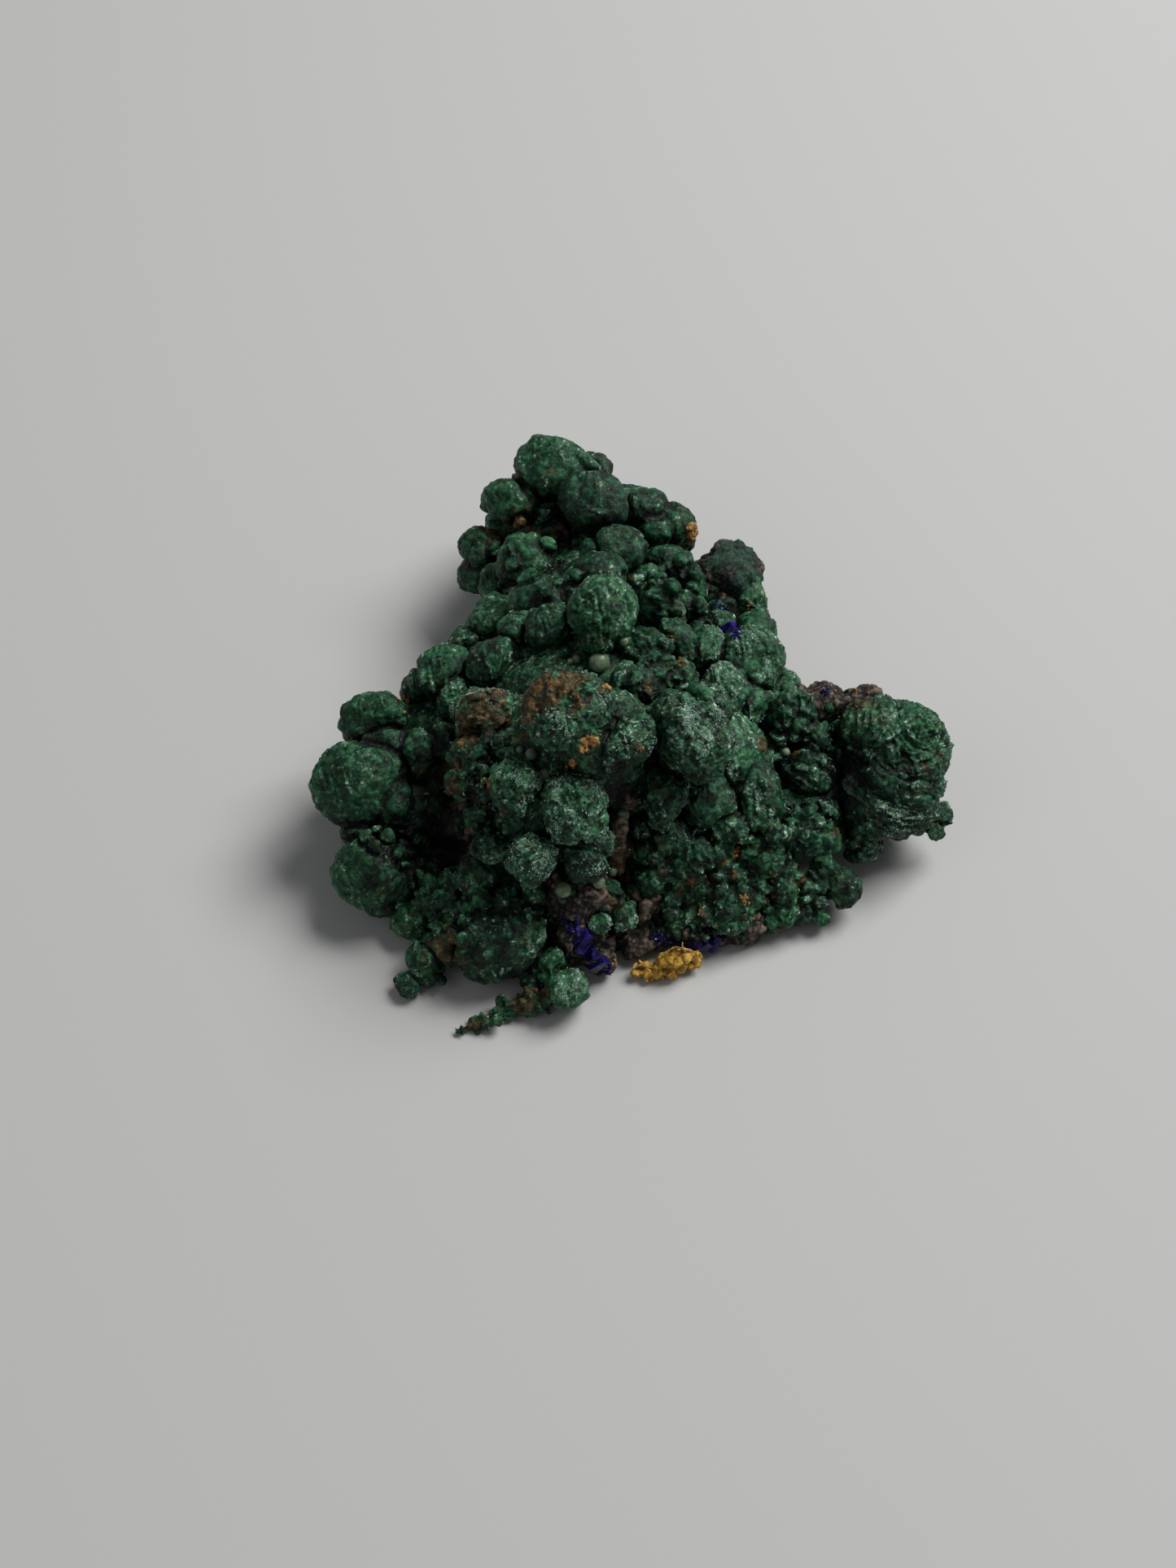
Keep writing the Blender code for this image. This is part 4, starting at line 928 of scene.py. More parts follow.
def finish_lumps(data, finish, middles, radii, poles):
    """Raises the skin of the lumps and writes what its material reads.

    Bumps are domes in warped space, worms are winding ridges of two sizes, ribs run from a
    lump's pole like slices, and folds are shells round one point, each with a steep edge and
    a slope that falls slowly away from it.
    """
    bump, worm, rib, fold, bump_size, frosty, shade, crisp = finish
    points, facing, edges = read_mesh(data)
    middle_form = spread(points, edges, MIDDLE_ROUNDS)
    broad_form = spread(middle_form, edges, BROAD_ROUNDS)
    depth = rise_over(points, middle_form, facing, 1.1)
    depth += rise_over(points, broad_form, facing, 0.7)
    straight = 2 * points - bend(points)
    owner, gap, along, around = place_on_lump(straight, middles, radii, poles)
    seam = np.exp(-((gap / (0.30 * MM)) ** 2)) + 0.6 * np.exp(-((gap / (0.8 * MM)) ** 2))
    bent = points + noise_vector(points, 1.1 * MM, 41) * 0.3 * MM
    round_bumps = domes(bent, bump_size * MM, 21)
    ridges = worms(bent, 0.85 * MM, 51)
    fine_ridges = worms(bent, 0.42 * MM, 61)
    shift = (owner * 3.7)[:, None]
    size_round = (radii[owner] / (0.55 * MM))[:, None]
    fibres = soft_noise(around * size_round + shift + (along / (2.4 * MM))[:, None], 1.0, 71)
    small_bumps = domes(bent + facing * 0.3 * MM, 0.62 * MM, 26)
    raised = bump * (1.5 * (round_bumps - 0.6) + 0.75 * (small_bumps - 0.6))
    raised += bump * (soft_noise(points, 1.9 * MM, 27) + 0.5 * soft_noise(points, 0.95 * MM, 28))
    raised -= (0.08 if fold else 0.26) * seam
    raised += worm * (ridges * 0.9 + fine_ridges * 0.6 - 0.35)
    raised += rib * (np.abs(fibres) * 2.2 - 0.45)
    if fold:
        out = points - seen_at(*FOLD_CENTRE)
        away = np.linalg.norm(out, axis=1)
        layered = unit(out) * 6.5 * MM + away[:, None] * np.array((3.2, 0.0, 0.0))
        blades = 1 - 3 * np.abs(soft_noise(layered, 1.7 * MM, 83))
        wave = -away / (1.35 * MM) + 1.1 * soft_noise(points, 3.0 * MM, 81)
        wave = wave + 0.6 * soft_noise(points, 1.1 * MM, 84)
        step = wave - np.floor(wave)
        step = np.minimum(step * 5, 1 - step)
        broken = np.clip(0.55 + 0.9 * soft_noise(points, 1.5 * MM, 82), 0, 1.2)
        near_centre = np.exp(-((np.clip(away / MM - 5.2, 0, None) / 2.0) ** 2))
        raised += fold * ((step - 0.45) * broken * (0.25 + 0.75 * near_centre) + 0.38 * blades)
    raised += 0.09 * (0.6 - cell_noise(points, 0.34 * MM, 31))
    points, facing, edges = raise_skin(data, points, facing, raised)
    grain = rise_over(points, spread(points, edges, FINE_ROUNDS), facing)
    patch = 0.6 * soft_noise(points, 2.6 * MM, 91) + 0.4 * soft_noise(points, 1.1 * MM, 92)
    tone = lattice_value(np.stack([owner, owner * 0 + 5, owner * 0 + 9], axis=1), 3)
    spotted = near_spots(points, spots["frost"])
    # Frost is the skin's real pale colour, from patches, spots, fibres, tone and convex tips, less in seams;
    # the facing term adds a painted highlight, paler where the skin faces the window light.
    frost = frosty + 0.40 * patch + 0.50 * spotted + 0.14 * fibres + 0.16 * (tone - 0.5) - 0.2 * seam
    frost += 0.10 * (facing @ unit(np.array((0.55, 0.1, 0.8)))) + np.clip(grain * 4.5, -0.25, 0.3)
    pits = (round_bumps - 0.6) * 0.3 + (small_bumps - 0.6) * 0.1 + ridges * 0.08
    # Painted shade: darker in creases, seams, crowded crevices and the painted shade spots, lighter on bumps,
    # and darker or lighter by each part's shade.
    crowded = crowding(points, facing, filled)
    hollow = 0.42 + shade - depth * 0.7 - pits - np.clip(grain * 2.5, -0.3, 0.2) + 0.16 * seam
    hollow = hollow + 0.9 * (crowded - 0.3)
    # Where frost spots pass 0.9, on the right knob's pale crescent, the painted shade is lifted: a painted
    # highlight on a lit ledge.
    hollow += 0.8 * near_spots(points, spots["hollow"], 0.85) - 1.5 * np.clip(spotted - 0.9, 0, 0.3)
    write_values(
        data, hollow=np.clip(hollow, 0, 1), frost=np.clip(frost, 0, 1),
        stain=near_spots(points, spots["stain"]), tone=tone, crisp=np.full(len(points), crisp),
        fibre=np.clip(0.5 + 0.5 * fibres, 0, 1),
    )
    return points, facing, frost


def finish_rock(data, heights):
    """Raises the rock by broad noise and by grains of two sizes, each 0.6 less its cell distance."""
    points, facing, edges = read_mesh(data)
    broad, coarse, fine = heights
    raised = broad * (soft_noise(points, 1.8 * MM, 14) + 0.6 * soft_noise(points, 0.9 * MM, 15))
    grains = coarse * (0.6 - cell_noise(points, 0.62 * MM, 24))
    raised += grains + fine * (0.6 - cell_noise(points, 0.34 * MM, 34))
    points, facing, edges = raise_skin(data, points, facing, raised)
    grain = rise_over(points, spread(points, edges, FINE_ROUNDS), facing)
    # Painted shade: darker where solid crowds in front of the rock and at the painted shade spots.
    hollow = crowding(points, facing, filled) + 0.8 * near_spots(points, spots["hollow"], 0.85)
    write_values(
        data, grain=np.clip(0.5 + grain * 5, 0, 1), stain=near_spots(points, spots["stain"]),
        moss=near_spots(points, spots["moss"]), hollow=np.clip(hollow, 0, 1),
    )


def crumbs(places, facings, radii):
    """Small uneven balls of few faces, sunk a third of their radius into what carries them."""
    sizes = radii[:, None] * rng.uniform(0.6, 1.3, (len(radii), 3))
    return balls(places + facings * (radii * 0.55)[:, None], sizes, 0.5, 17, 4, 7)


def crystals(places, facings, lengths, widths):
    """Six-sided prisms that lean out of the surface and end in a chisel tip.

    A ring point is place + side * width * cos(turn) + across * width * sin(turn), at the
    foot and at two thirds of the length, and the two tip points close the top.
    """
    leaning = unit(facings + rng.normal(0, 0.45, facings.shape))
    side = unit(np.cross(leaning, rng.normal(size=facings.shape)))
    across = np.cross(leaning, side)
    turn = np.arange(SIDES) * np.pi / 3
    ring = (side[:, None] * np.cos(turn)[:, None] + across[:, None] * np.sin(turn)[:, None] * 0.6)
    foot = places[:, None] + ring * widths[:, None, None] - (leaning * lengths[:, None] * 0.35)[:, None]
    top = places[:, None] + ring * widths[:, None, None] + (leaning * lengths[:, None] * 0.4)[:, None]
    tip = places + leaning * lengths[:, None] * 0.65
    tips = np.stack([tip + side * widths[:, None] * 0.5, tip - side * widths[:, None] * 0.5], axis=1)
    points = np.concatenate([foot, top, tips], axis=1)
    pattern = [(i, (i + 1) % SIDES, (i + 1) % SIDES + SIDES) for i in range(SIDES)]
    pattern += [(i, (i + 1) % SIDES + SIDES, i + SIDES) for i in range(SIDES)]
    pattern += [(0, i + 1, i) for i in range(1, SIDES - 1)]
    pattern += [(11, 6, 12), (6, 7, 12), (7, 8, 12), (12, 8, 13)]
    pattern += [(8, 9, 13), (9, 10, 13), (10, 11, 13), (11, 12, 13)]
    faces = np.array(pattern) + (np.arange(len(places)) * points.shape[1])[:, None, None]
    return points.reshape(-1, 3), faces.reshape(-1, 3)


def ribbon(path, widths, thickness, across_way, turns=10):
    """An oval profile carried along a path, its long side along one way, closed at both ends."""
    ahead = unit(np.gradient(path, axis=0))
    side = unit(across_way - (ahead @ across_way)[:, None] * ahead)
    thin = np.cross(ahead, side)
    turn = np.arange(turns) * 2 * np.pi / turns
    ring = side[:, None] * (np.cos(turn)[:, None] * widths[:, None, None]) + thin[:, None] * (
        np.sin(turn)[:, None] * thickness
    )
    points = np.concatenate([(path[:, None] + ring).reshape(-1, 3), path[:1], path[-1:]])
    row, step = np.meshgrid(np.arange(len(path) - 1), np.arange(turns), indexing="ij")
    a, b = row * turns + step, row * turns + (step + 1) % turns
    walls = np.concatenate([np.stack([a, b, b + turns], -1), np.stack([a, b + turns, a + turns], -1)])
    step = np.arange(turns)
    after = (step + 1) % turns
    last = (len(path) - 1) * turns
    start = np.stack([np.full(turns, len(path) * turns), after, step], -1)
    end = np.stack([np.full(turns, len(path) * turns + 1), last + step, last + after], -1)
    return points, np.concatenate([walls.reshape(-1, 3), start, end])


def smooth_path(stops, count):
    """Many points through a few stops, each number between by the smooth cubic of its neighbours."""
    stops = np.asarray(stops, float)
    padded = np.concatenate([2 * stops[:1] - stops[1:2], stops, 2 * stops[-1:] - stops[-2:-1]])
    where = np.linspace(0, len(stops) - 1, count)
    index = np.minimum(where.astype(int), len(stops) - 2)
    t = (where - index)[:, None]
    p0, p1, p2, p3 = (padded[index + step] for step in range(4))
    return 0.5 * (2 * p1 + (p2 - p0) * t + (2 * p0 - 5 * p1 + 4 * p2 - p3) * t**2
                  + (3 * p1 - p0 - 3 * p2 + p3) * t**3)


class Finish:
    """A material and its shader, with short ways to add nodes and join them."""

    def __init__(self, name, roughness):
        self.made = bpy.data.materials.new(name)
        self.made.use_nodes = True
        self.tree = self.made.node_tree
        self.shader = self.tree.nodes["Principled BSDF"]
        self.shader.inputs["Roughness"].default_value = roughness
        self.place = self.add("TexCoord").outputs["Object"]

    def add(self, kind, **settings):
        """A new node, each setting an input of its or a property."""
        node = self.tree.nodes.new("ShaderNode" + kind)
        for key, value in settings.items():
            if key in node.inputs:
                node.inputs[key].default_value = value
            else:
                setattr(node, key, value)
        return node

    def join(self, source, socket):
        """Feeds a socket from another, or sets it to a number or a colour."""
        if isinstance(source, (int, float)):
            socket.default_value = source
        elif isinstance(source, tuple):
            socket.default_value = (*source, 1.0)
        else:
            self.tree.links.new(source, socket)

    def noise(self, size_mm, detail=3.0, distortion=0.0):
        """Noise of a size in millimetres, in the piece's own place."""
        node = self.add("TexNoise", Scale=1000.0 / size_mm, Detail=detail, Distortion=distortion)
        self.join(self.place, node.inputs["Vector"])
        return node.outputs[0]

    def reading(self, name):
        """What was written per point under a name."""
        return self.add("Attribute", attribute_name=name).outputs["Fac"]

    def math(self, operation, first, second=0.0, third=None):
        """A sum of two or three numbers."""
        node = self.add("Math", operation=operation)
        self.join(first, node.inputs[0])
        self.join(second, node.inputs[1])
        if third is not None:
            self.join(third, node.inputs[2])
        return node.outputs[0]

    def centred(self, source, share):
        """The source's difference from a half, times a share."""
        return self.math("MULTIPLY_ADD", source, share, -share / 2)

    def ramp(self, source, stops):
        """Colours or shades between stops."""
        node = self.add("ValToRGB")
        band = node.color_ramp
        while len(band.elements) < len(stops):
            band.elements.new(0.5)
        for element, (place, colour) in zip(band.elements, stops):
            element.position = place
            element.color = (*colour, 1.0) if isinstance(colour, tuple) else (colour, colour, colour, 1.0)
        self.join(source, node.inputs["Fac"])
        return node.outputs["Color"]

    def mix(self, mask, under, over, way="MIX"):
        """One colour laid over another by a mask."""
        node = self.add("Mix", data_type="RGBA", blend_type=way)
        self.join(mask, node.inputs[0])
        self.join(under, node.inputs[6])
        self.join(over, node.inputs[7])
        return node.outputs[2]

    def colour(self, source):
        """What the shader's colour is."""
        self.join(source, self.shader.inputs["Base Color"])

    def bump(self, source, strength, height_mm):
        """Raises the look of the surface by a source."""
        node = self.add("Bump", Strength=strength, Distance=height_mm * MM)
        self.join(source, node.inputs["Height"])
        self.join(node.outputs["Normal"], self.shader.inputs["Normal"])


def malachite_finish():
    """Deep green under a winding pale frosted haze, partly a painted highlight on the side facing the light,
    rusty in places, with painted shade that turns it black in its hollows.
    """
    made = Finish("malachite_skin", 0.55)
    tone = made.centred(made.reading("tone"), 0.22)
    greens = made.ramp(made.math("ADD", made.noise(1.0, 8.0, 0.8), tone), (
        (0.32, (0.0009, 0.0100, 0.0044)), (0.44, (0.0034, 0.0360, 0.0152)), (0.53, (0.0092, 0.0770, 0.0312)),
        (0.63, (0.0260, 0.1270, 0.0525)), (0.78, (0.0660, 0.1950, 0.0880)),
    ))
    olive = made.ramp(made.noise(1.8, 5.0, 0.6), ((0.53, 0.0), (0.68, 0.6)))
    colour = made.mix(olive, greens, (0.0440, 0.0680, 0.0250))
    crisp = made.reading("crisp")
    streak = made.centred(made.reading("fibre"), 1.0)
    streak = made.math("MULTIPLY", streak, made.math("MULTIPLY_ADD", crisp, -0.5, 1.0))
    haze = made.centred(made.noise(0.85, 7.0, 1.4), 2.6)
    # The pale haze follows the frost value, and with it the painted highlight on the side facing the light.
    haze = made.math("ADD", made.math("ADD", made.reading("frost"), streak), haze)
    colour = made.mix(made.ramp(haze, ((0.26, 0.0), (0.90, 0.85))), colour, (0.0900, 0.2180, 0.1180))
    line = made.math("ABSOLUTE", made.math("SUBTRACT", made.noise(0.7, 3.0, 2.2), 0.5))
    line = made.ramp(line, ((0.0, 1.0), (0.045, 0.0)))
    line = made.math("MULTIPLY", line, made.ramp(haze, ((0.30, 0.0), (0.75, 1.0))))
    colour = made.mix(made.math("MULTIPLY", line, 0.45), colour, (0.2100, 0.4100, 0.2700))
    specks = made.ramp(made.noise(0.36, 5.0, 0.4), ((0.54, 0.0), (0.62, 1.0)))
    specks = made.math("MULTIPLY", specks, made.ramp(haze, ((0.32, 0.0), (0.72, 1.0))))
    colour = made.mix(specks, colour, (0.4700, 0.6800, 0.5000))
    pits = made.ramp(made.noise(0.5, 5.0, 0.6), ((0.39, 0.01), (0.47, 0.62), (0.60, 1.32)))
    colour = made.mix(made.math("MULTIPLY_ADD", crisp, 0.65, 0.33), colour, pits, "MULTIPLY")
    rust = made.centred(made.noise(1.1, 6.0, 0.8), 1.6)
    rust = made.math("ADD", made.reading("stain"), rust)
    browns = made.ramp(made.noise(0.8, 7.0, 0.5), (
        (0.34, (0.0120, 0.0100, 0.0040)), (0.47, (0.0480, 0.0310, 0.0110)),
        (0.57, (0.1300, 0.0680, 0.0180)), (0.72, (0.3100, 0.1550, 0.0420)),
    ))
    browns = made.mix(0.6, browns, pits, "MULTIPLY")
    colour = made.mix(made.ramp(rust, ((0.34, 0.0), (0.62, 0.9))), colour, browns)
    # Painted shade: the colour is multiplied down to a dark green-black where the skin is hollow or crowded.
    shade = made.ramp(made.reading("hollow"), (
        (0.32, (1.0, 1.0, 1.0)), (0.56, (0.37, 0.50, 0.44)), (0.86, (0.010, 0.026, 0.016))
    ))
    made.colour(made.mix(1.0, colour, shade, "MULTIPLY"))
    made.join(made.ramp(made.noise(0.25, 3.0), ((0.35, 0.28), (0.62, 0.75))), made.shader.inputs["Roughness"])
    made.bump(made.math("ADD", made.noise(0.3, 5.0, 1.0), made.math("MULTIPLY", line, 0.5)), 0.85, 0.14)
    made.shader.inputs["Specular IOR Level"].default_value = 0.28
    made.shader.inputs["Sheen Weight"].default_value = 0.03
    made.shader.inputs["Sheen Roughness"].default_value = 0.4
    made.shader.inputs["Sheen Tint"].default_value = (0.50, 0.80, 0.55, 1)
    return made.made


def rock_finish():
    """Dark gritty brown, its grains paler than the gaps, green or rusty in places, with painted shade in its
    hollows.
    """
    made = Finish("gritty_rock", 0.85)
    mixed = made.math("ADD", made.noise(0.55, 6.0), made.centred(made.reading("grain"), 0.7))
    colour = made.ramp(mixed, (
        (0.38, (0.0034, 0.0028, 0.0020)), (0.52, (0.0210, 0.0155, 0.0105)),
        (0.66, (0.0760, 0.0560, 0.0390)), (0.84, (0.1900, 0.1450, 0.1050)),
    ))
    rust = made.math("ADD", made.reading("stain"), made.centred(made.noise(0.9, 4.0), 1.2))
    colour = made.mix(made.ramp(rust, ((0.35, 0.0), (0.75, 0.8))), colour, (0.135, 0.072, 0.030))
    moss = made.math("ADD", made.reading("moss"), made.centred(made.noise(0.8, 5.0), 1.4))
    greens = made.ramp(made.noise(0.4, 4.0), ((0.4, (0.003, 0.016, 0.008)), (0.65, (0.030, 0.090, 0.055))))
    colour = made.mix(made.ramp(moss, ((0.38, 0.0), (0.60, 1.0))), colour, greens)
    # Painted shade: the rock's colour is multiplied darker where it is hollow or crowded.
    shade = made.ramp(made.reading("hollow"), ((0.40, 1.0), (0.68, 0.40), (0.92, 0.05)))
    made.colour(made.mix(1.0, colour, shade, "MULTIPLY"))
    made.bump(made.noise(0.2, 5.0), 0.9, 0.12)
    return made.made


def mottled(name, roughness, pattern, stops, bumps=None, grain=0.0):
    """A finish whose colour follows noise, and the skin's grain by a share, through its stops.

    The pattern is the noise's size, detail and warp, and the bumps are the finer noise's size
    and detail, then how strong and how high they are.
    """
    made = Finish(name, roughness)
    source = made.noise(*pattern)
    if grain:
        source = made.math("ADD", source, made.centred(made.reading("grain"), grain))
    made.colour(made.ramp(source, stops))
    if bumps:
        made.bump(made.noise(*bumps[:2]), *bumps[2:])
    return made.made


graph = bpy.context.evaluated_depsgraph_get()
solid_trees = [BVHTree.FromObject(node, graph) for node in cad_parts.values()]
rng = np.random.default_rng(7)

# Where the spots of each kind lie on the solids.
spots = {}
for name, table in (("stain", STAINS), ("frost", FROSTS), ("moss", MOSSES), ("hollow", PAINTED_SHADE_SPOTS)):
    spots[name] = [
        (surface_at(solid_trees, np.array([across]), np.array([down]))[0], reach, strength)
        for across, down, reach, strength in table
    ]
    spots[name] = [(place[0], reach, strength) for place, reach, strength in spots[name] if len(place)]

# The middles and radii of each part's lumps, and of the small lumps scattered over it.
groups = {}
for name, lumps in LUMPS.items():
    table = np.array(lumps)
    groups[name] = (seen_at(*table[:, :3].T), table[:, 3] * MM)
for name, lumps in HIDDEN_LUMPS.items():
    table = np.array(lumps)
    groups[name] = (table[:, :3] * MM - ORIGIN, table[:, 3] * MM)
small_lumps = {name: ([], []) for name in groups}
for name, across, down, wide, high, count, least, most in SMALL_LUMPS:
    places, facings = spread_at(solid_trees, across, down, wide, high, count)
    sizes = rng.uniform(least, most, len(places)) * MM
    small_lumps[name][0].append(places - facings * sizes[:, None] * 0.25)
    small_lumps[name][1].append(sizes)

# Where the mass is solid, from the lumps, the rock and what fills the mass.
bodies = [(middles, three(radii)) for middles, radii in groups.values()]
for table, from_pixels in ((OUTCROPS, True), (BASE + FILL, False)):
    bodies.append(ellipsoids(table, from_pixels))
filled = filled_grid(*(np.concatenate(column) for column in zip(*bodies)))

# The malachite, part by part: pillows with knobs, balls with knobs, and small lumps in one skin.
green = malachite_finish()
pieces, frosted = [], []
for name, (middles, radii) in groups.items():
    cap, *finish = FINISHES[name]
    if name in GROWTH_WAYS:
        axes = np.tile(unit(np.array(GROWTH_WAYS[name])), (len(middles), 1))
    else:
        axes = unit((middles - CORE) * np.array((1, 1, 1.5)))
    poles = unit(UPWARD + 0.5 * FORWARD + rng.normal(0, 0.35, axes.shape))
    free = np.ones(len(middles), bool)
    crease = radii < CREASE_BALLS.get(name, 0) * MM
    shapes, pillow_middles, pillow_radii = [], [], []
    for outline, height, facing, dome, under in PILLOWS.get(name, ()):
        facing = unit(np.array(facing))
        shape, middle, radius = pillow(outline, height, facing, dome, under)
        free &= crease | (np.linalg.norm(middles - middle, axis=1) > radius * 0.9)
        outer = shape[0][(shape[0] - middle) @ facing > 0.2 * MM]
        knobs = outer[rng.choice(len(outer), KNOBS_ON_PILLOW.get(name, KNOBS_ELSEWHERE), replace=False)]
        knob_radii = rng.uniform(0.45, 0.95, len(knobs)) * MM
        knobs = knobs + unit(middle - facing * 1.5 * MM - knobs) * (knob_radii * 0.8)[:, None]
        shapes += [shape, balls(knobs, three(knob_radii), 0.16, 6, *SMALL_BALL)]
        pillow_middles.append(middle)
        pillow_radii.append(radius)
    knobs, knob_radii = knobbed(middles[free], radii[free] * 0.93, axes[free], 0.4, KNOBS_ELSEWHERE)
    shapes += [
        balls(middles, three(radii * np.where(free, 0.93, 0.72)), 0.14, 5, axes=axes, cap=cap),
        balls(knobs, three(knob_radii), 0.16, 6, *SMALL_BALL),
    ]
    middles, radii, poles = middles[free], radii[free], poles[free]
    if pillow_middles:
        middles = np.concatenate([middles, pillow_middles])
        radii = np.concatenate([radii, pillow_radii])
        poles = np.concatenate([poles, np.tile(unit(UPWARD), (len(pillow_middles), 1))])
    if name == "foot":
        ridge = np.array(TAIL)
        path = smooth_path(np.column_stack([seen_at(*ridge[:, :3].T), ridge[:, 3] * MM]), TAIL_BALLS)
        aside = rng.normal(0, 0.42, (TAIL_BALLS, 3)) * path[:, 3:] * np.array((1, 1, 0.5))
        small_lumps[name][0].append(path[:, :3] + aside)
        small_lumps[name][1].append(path[:, 3] * rng.uniform(0.3, 0.85, TAIL_BALLS))
    if small_lumps[name][0]:
        extra = np.concatenate(small_lumps[name][0])
        extra_radii = np.concatenate(small_lumps[name][1])
        shapes.append(balls(extra, three(extra_radii), 0.18, 8, *SMALL_BALL))
        middles, radii = np.concatenate([middles, extra]), np.concatenate([radii, extra_radii])
        poles = np.concatenate([poles, unit(rng.normal(size=extra.shape) + TOWARDS_EYE)])
    points, faces = joined(*shapes)
    data = skin_of("malachite_" + name, above(bend(points)), faces, SKIN_GRAIN * COARSER.get(name, 1))
    frosted.append(finish_lumps(data, finish, middles, radii, poles))
    pieces.append(new_piece("malachite_" + name, data, green, "malachite"))

middles, radii = ellipsoids(FILL, False)
points, faces = balls(middles, radii, 0.06, 5, *BIG_BALL)
data = skin_of("malachite_bed", above(points), faces, BED_GRAIN)
finish_lumps(data, FINISHES["bed"][1:], middles, radii[:, 0], unit(rng.normal(size=middles.shape)))
pieces.append(new_piece("malachite_bed", data, green, "malachite"))

# The rock, and all the surfaces that small things sit on.
rock = rock_finish()
for name, table, grain, heights in (
    ("rock_base", BASE, BASE_GRAIN, (0.7, 0.4, 0.1)),
    ("rock_outcrops", OUTCROPS, OUTCROP_GRAIN, (0.6, 0.28, 0.22)),
):
    points, faces = balls(*ellipsoids(table, table is OUTCROPS), 0.16, 9, *BIG_BALL)
    if table is OUTCROPS:
        points = points + noise_vector(points, 2.2 * MM, 121) * 0.7 * MM
    data = skin_of(name, above(points), faces, grain)
    finish_rock(data, heights)
    pieces.append(new_piece(name, data, rock, "matrix"))

graph = bpy.context.evaluated_depsgraph_get()
trees = [BVHTree.FromObject(piece, graph) for piece in pieces]

# Beads: sage green, finely mottled, with a soft gloss.
bead = mottled("pale_bead", 0.42, (0.45, 5.0, 0.6), (
    (0.34, (0.075, 0.135, 0.068)), (0.52, (0.140, 0.205, 0.112)), (0.70, (0.260, 0.320, 0.195)),
), (0.15, 3.0, 0.4, 0.03))
table = np.array(BEADS)
places, facings = surface_at(trees, table[:, 0], table[:, 1])
radii = table[:, 2] * MM
places = places + (facings * 0.3 + TOWARDS_EYE * 0.65) * radii[:, None]
shape = balls(places, three(radii), 0.05, 3, 20, 36)
small_pieces("pale_beads", [shape], bead, "malachite", smooth=True)

# Iron ore: tan to golden crumbs, and crusts of them.
iron = mottled("iron_crumb", 0.75, (0.4, 5.0), (
    (0.35, (0.1000, 0.0460, 0.0100)), (0.50, (0.3000, 0.1500, 0.0340)), (0.68, (0.4600, 0.2800, 0.0950)),
), (0.15, 3.0, 0.6, 0.04))
shapes = []
for across, down, span, count, largest in GOLD_CRUMBS:
    places, facings = scattered_at(trees, across, down, span * MM * PIXELS_PER_METRE, count)
    shapes.append(crumbs(places, facings, rng.uniform(0.35, 1.0, len(places)) * largest * MM))
small_pieces("iron_crumbs", shapes, iron, "malachite")

shapes = []
for across, down, wide, high, count, largest in FLECKS:
    places, facings = spread_at(trees, across, down, wide, high, count, (PIXELS_PER_METRE, MM))
    sizes = rng.uniform(0.45, 1.0, len(places)) * largest * MM
    shapes.append(balls(places + facings * (sizes * 0.3)[:, None], three(sizes), 0.35, 23, *SMALL_BALL))
data = skin_of("iron_flecks", *joined(*shapes), FLECK_GRAIN)
finish_rock(data, (0.06, 0.10, 0.10))
new_piece("iron_flecks", data, iron, "malachite")

# Azurite: nearly black blue that turns violet in patches, with a glassy gloss.
blue = mottled("azurite_crystal", 0.16, (0.6, 3.0), (
    (0.34, (0.0024, 0.0018, 0.0150)), (0.50, (0.0100, 0.0064, 0.1000)), (0.68, (0.0480, 0.0300, 0.2800)),
), (0.2, 2.0, 0.3, 0.03))
shapes = []
for across, down, span, count, longest in BLUE_CRUSTS:
    places, facings = scattered_at(trees, across, down, span * MM * PIXELS_PER_METRE * 0.8, count)
    lengths = rng.uniform(0.45, 1.0, len(places)) * longest * MM
    widths = lengths * rng.uniform(0.2, 0.36, len(places))
    shapes.append(crystals(places, facings, lengths, widths))
small_pieces("azurite_druse", shapes, blue, None)
for name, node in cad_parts.items():
    if name.startswith("azurite"):
        node.data.materials.clear()
        node.data.materials.append(blue)

# Frost: pale grains on the frostiest ridges, where the frost value with its painted lit side is highest.
places, facings, frost = (np.concatenate(column) for column in zip(*frosted))
chance = np.clip(frost - FROST_START, 0, None) ** 2.5
picked = rng.choice(len(places), FROST_GRAINS, replace=False, p=chance / chance.sum())
sizes = rng.uniform(0.35, 1.0, len(picked)) ** 1.6 * FROST_RADIUS * MM
shape = balls(places[picked] + facings[picked] * sizes[:, None] * 0.4, three(sizes), 0.3, 19, 2, 5)
white = mottled("frost_grain", 0.4, (0.8, 3.0), ((0.35, (0.17, 0.30, 0.22)), (0.65, (0.46, 0.58, 0.52))))
small_pieces("frost_grains", [shape], white, "malachite")

# Ochre: a lumpy golden body, darker in its pits, with thin pale curled rims.
table = np.array(OCHRE_LUMPS)
middles = seen_at(*table[:, :3].T)
count = len(table) * OCHRE_KNOBS
knobs = np.repeat(middles, OCHRE_KNOBS, axis=0) + unit(rng.normal(size=(count, 3))) * 0.62 * MM
points, faces = joined(
    balls(middles, three(table[:, 3] * MM * 0.82), 0.2, 13),
    balls(knobs, three(rng.uniform(0.14, 0.34, count) * MM), 0.2, 14, 7, 12),
)
points = above(points + noise_vector(points, 0.9 * MM, 131) * 0.25 * MM)
ruck = noise_vector(points, 0.55 * MM, 151)
points = above(points + np.sign(ruck) * np.sqrt(np.abs(ruck)) * 0.12 * MM)
data = skin_of("ochre_body", points, faces, OCHRE_GRAIN)
finish_rock(data, (0.1, 0.12, 0.09))
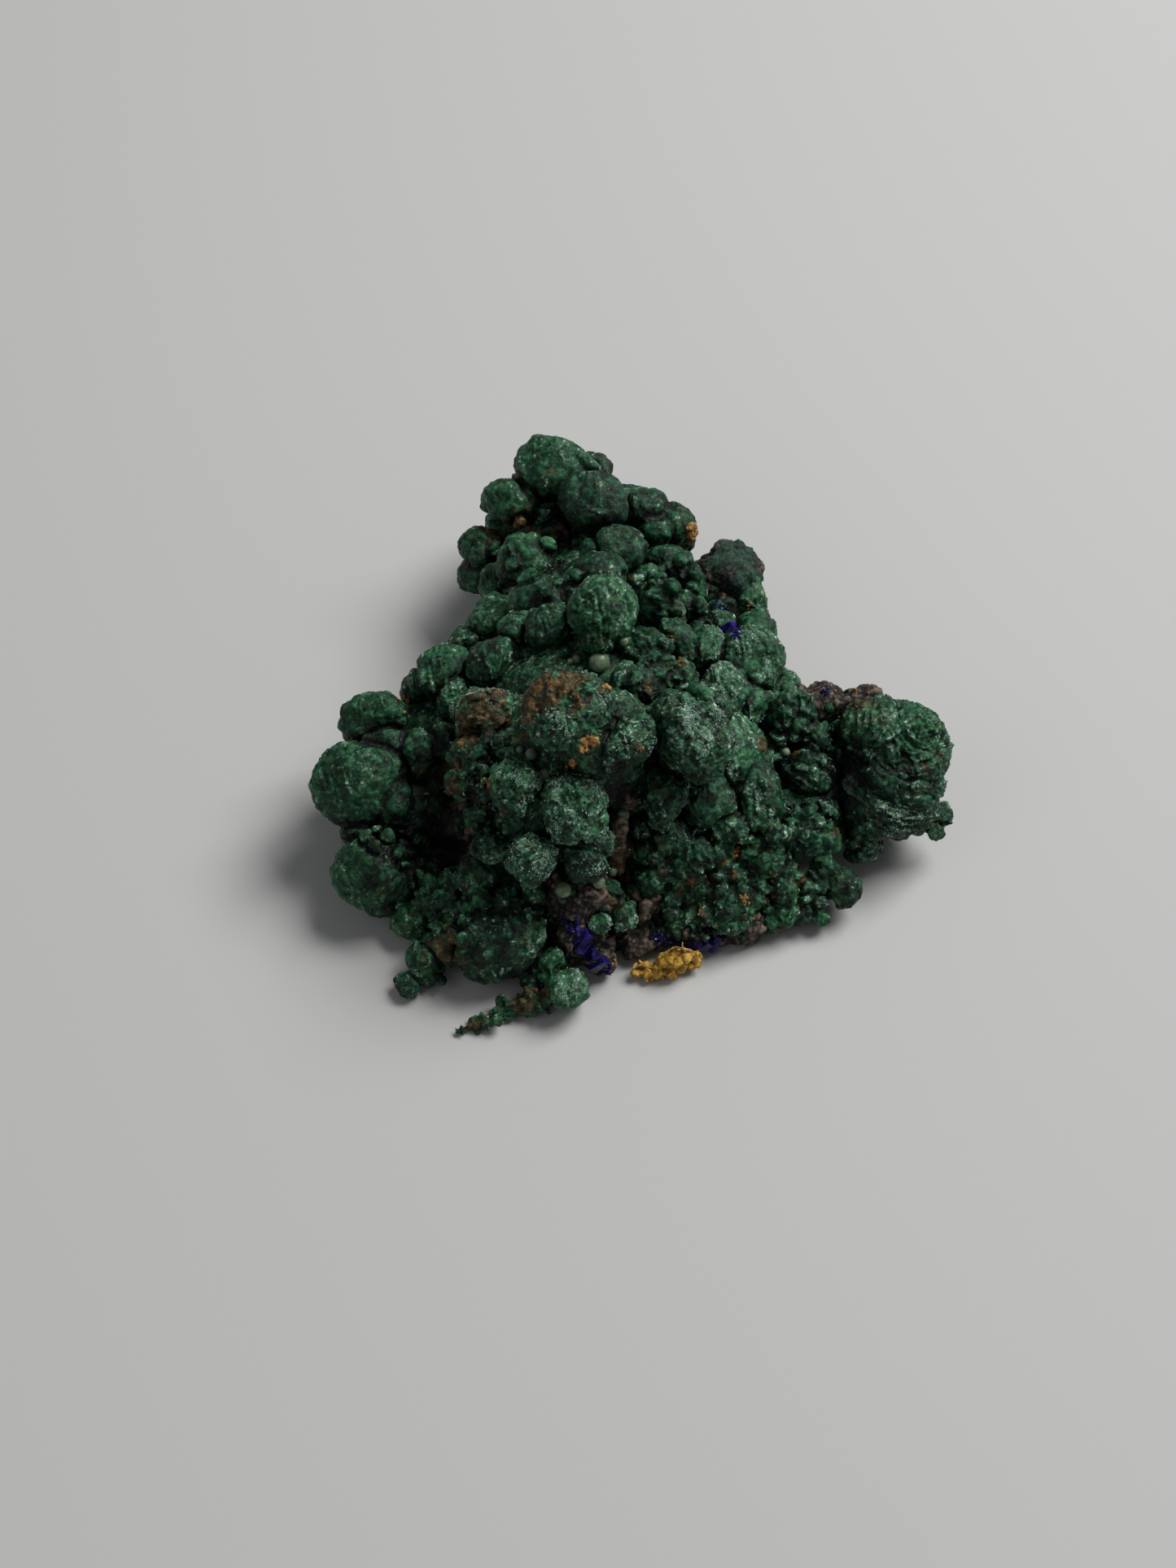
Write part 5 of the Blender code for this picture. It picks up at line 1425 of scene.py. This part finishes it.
earth = mottled("ochre_crust", 0.8, (0.5, 6.0, 0.4), (
    (0.32, (0.0900, 0.0360, 0.0040)), (0.44, (0.3000, 0.1450, 0.0120)),
    (0.58, (0.5600, 0.3200, 0.0330)), (0.80, (0.7200, 0.5200, 0.1700)),
), (0.2, 5.0, 0.8, 0.08), 0.5)
new_piece("ochre_body", data, earth, "ochre_crust")

shapes = []
for stops, width in OCHRE_RIMS:
    path = smooth_path(seen_at(*np.array(stops, float).T), RIM_POINTS)
    path = path + noise_vector(path, 0.5 * MM, 141) * 0.12 * MM
    taper = np.sin(np.linspace(0.25, np.pi - 0.25, RIM_POINTS)) ** 0.5
    widths = width * MM * (0.75 + 0.35 * soft_noise(path, 0.4 * MM, 144)) * taper
    shapes.append(ribbon(path, widths, RIM_THICKNESS, np.array((0.1, -0.35, 0.9))))
rim = mottled("ochre_rim", 0.7, (0.4, 4.0), ((0.35, (0.36, 0.20, 0.05)), (0.65, (0.58, 0.42, 0.21))))
small_pieces("ochre_rims", shapes, rim, "ochre_crust", smooth=True)

# Camera, floor and light.
camera = bpy.data.objects.new("camera", bpy.data.cameras.new("camera"))
bpy.context.scene.collection.objects.link(camera)
camera.location = EYE
camera.rotation_euler = Vector(FORWARD).to_track_quat("-Z", "Y").to_euler()
camera.data.sensor_width = SENSOR_WIDTH
camera.data.lens = SENSOR_WIDTH * PIXELS_PER_METRE * EYE_DISTANCE / PICTURE_HEIGHT
camera.data.clip_start = 0.005
bpy.context.scene.camera = camera

corners = np.array([(-1, -1, 0), (1, -1, 0), (1, 1, 0), (-1, 1, 0)], float) * FLOOR_HALF_WIDTH
floor = bpy.data.objects.new("floor", mesh_from("floor", corners, np.array([(0, 1, 2, 3)])))
bpy.context.scene.collection.objects.link(floor)
pale = bpy.data.materials.new("pale_floor")
pale.use_nodes = True
inputs = pale.node_tree.nodes["Principled BSDF"].inputs
inputs["Base Color"].default_value = (0.54, 0.54, 0.525, 1)
inputs["Roughness"].default_value = 0.9
floor.data.materials.append(pale)

world = bpy.data.worlds.new("studio")
bpy.context.scene.world = world
world.use_nodes = True
inputs = world.node_tree.nodes["Background"].inputs
inputs["Color"].default_value = (0.93, 0.97, 1.0, 1)
inputs["Strength"].default_value = 0.14


def soft_light(name, place, size, power):
    """A square light at a place that shines at the aim point."""
    light = bpy.data.objects.new(name, bpy.data.lights.new(name, "AREA"))
    light.data.size = size
    light.data.energy = power
    light.location = place
    light.rotation_euler = (-Vector(place)).to_track_quat("-Z", "Y").to_euler()
    bpy.context.scene.collection.objects.link(light)


soft_light("window", (0.42, 0.24, 0.66), 0.45, 6.9)
soft_light("far_wall", (-0.5, -0.35, 0.6), 0.5, 0.45)
bpy.context.scene.view_settings.view_transform = "Standard"
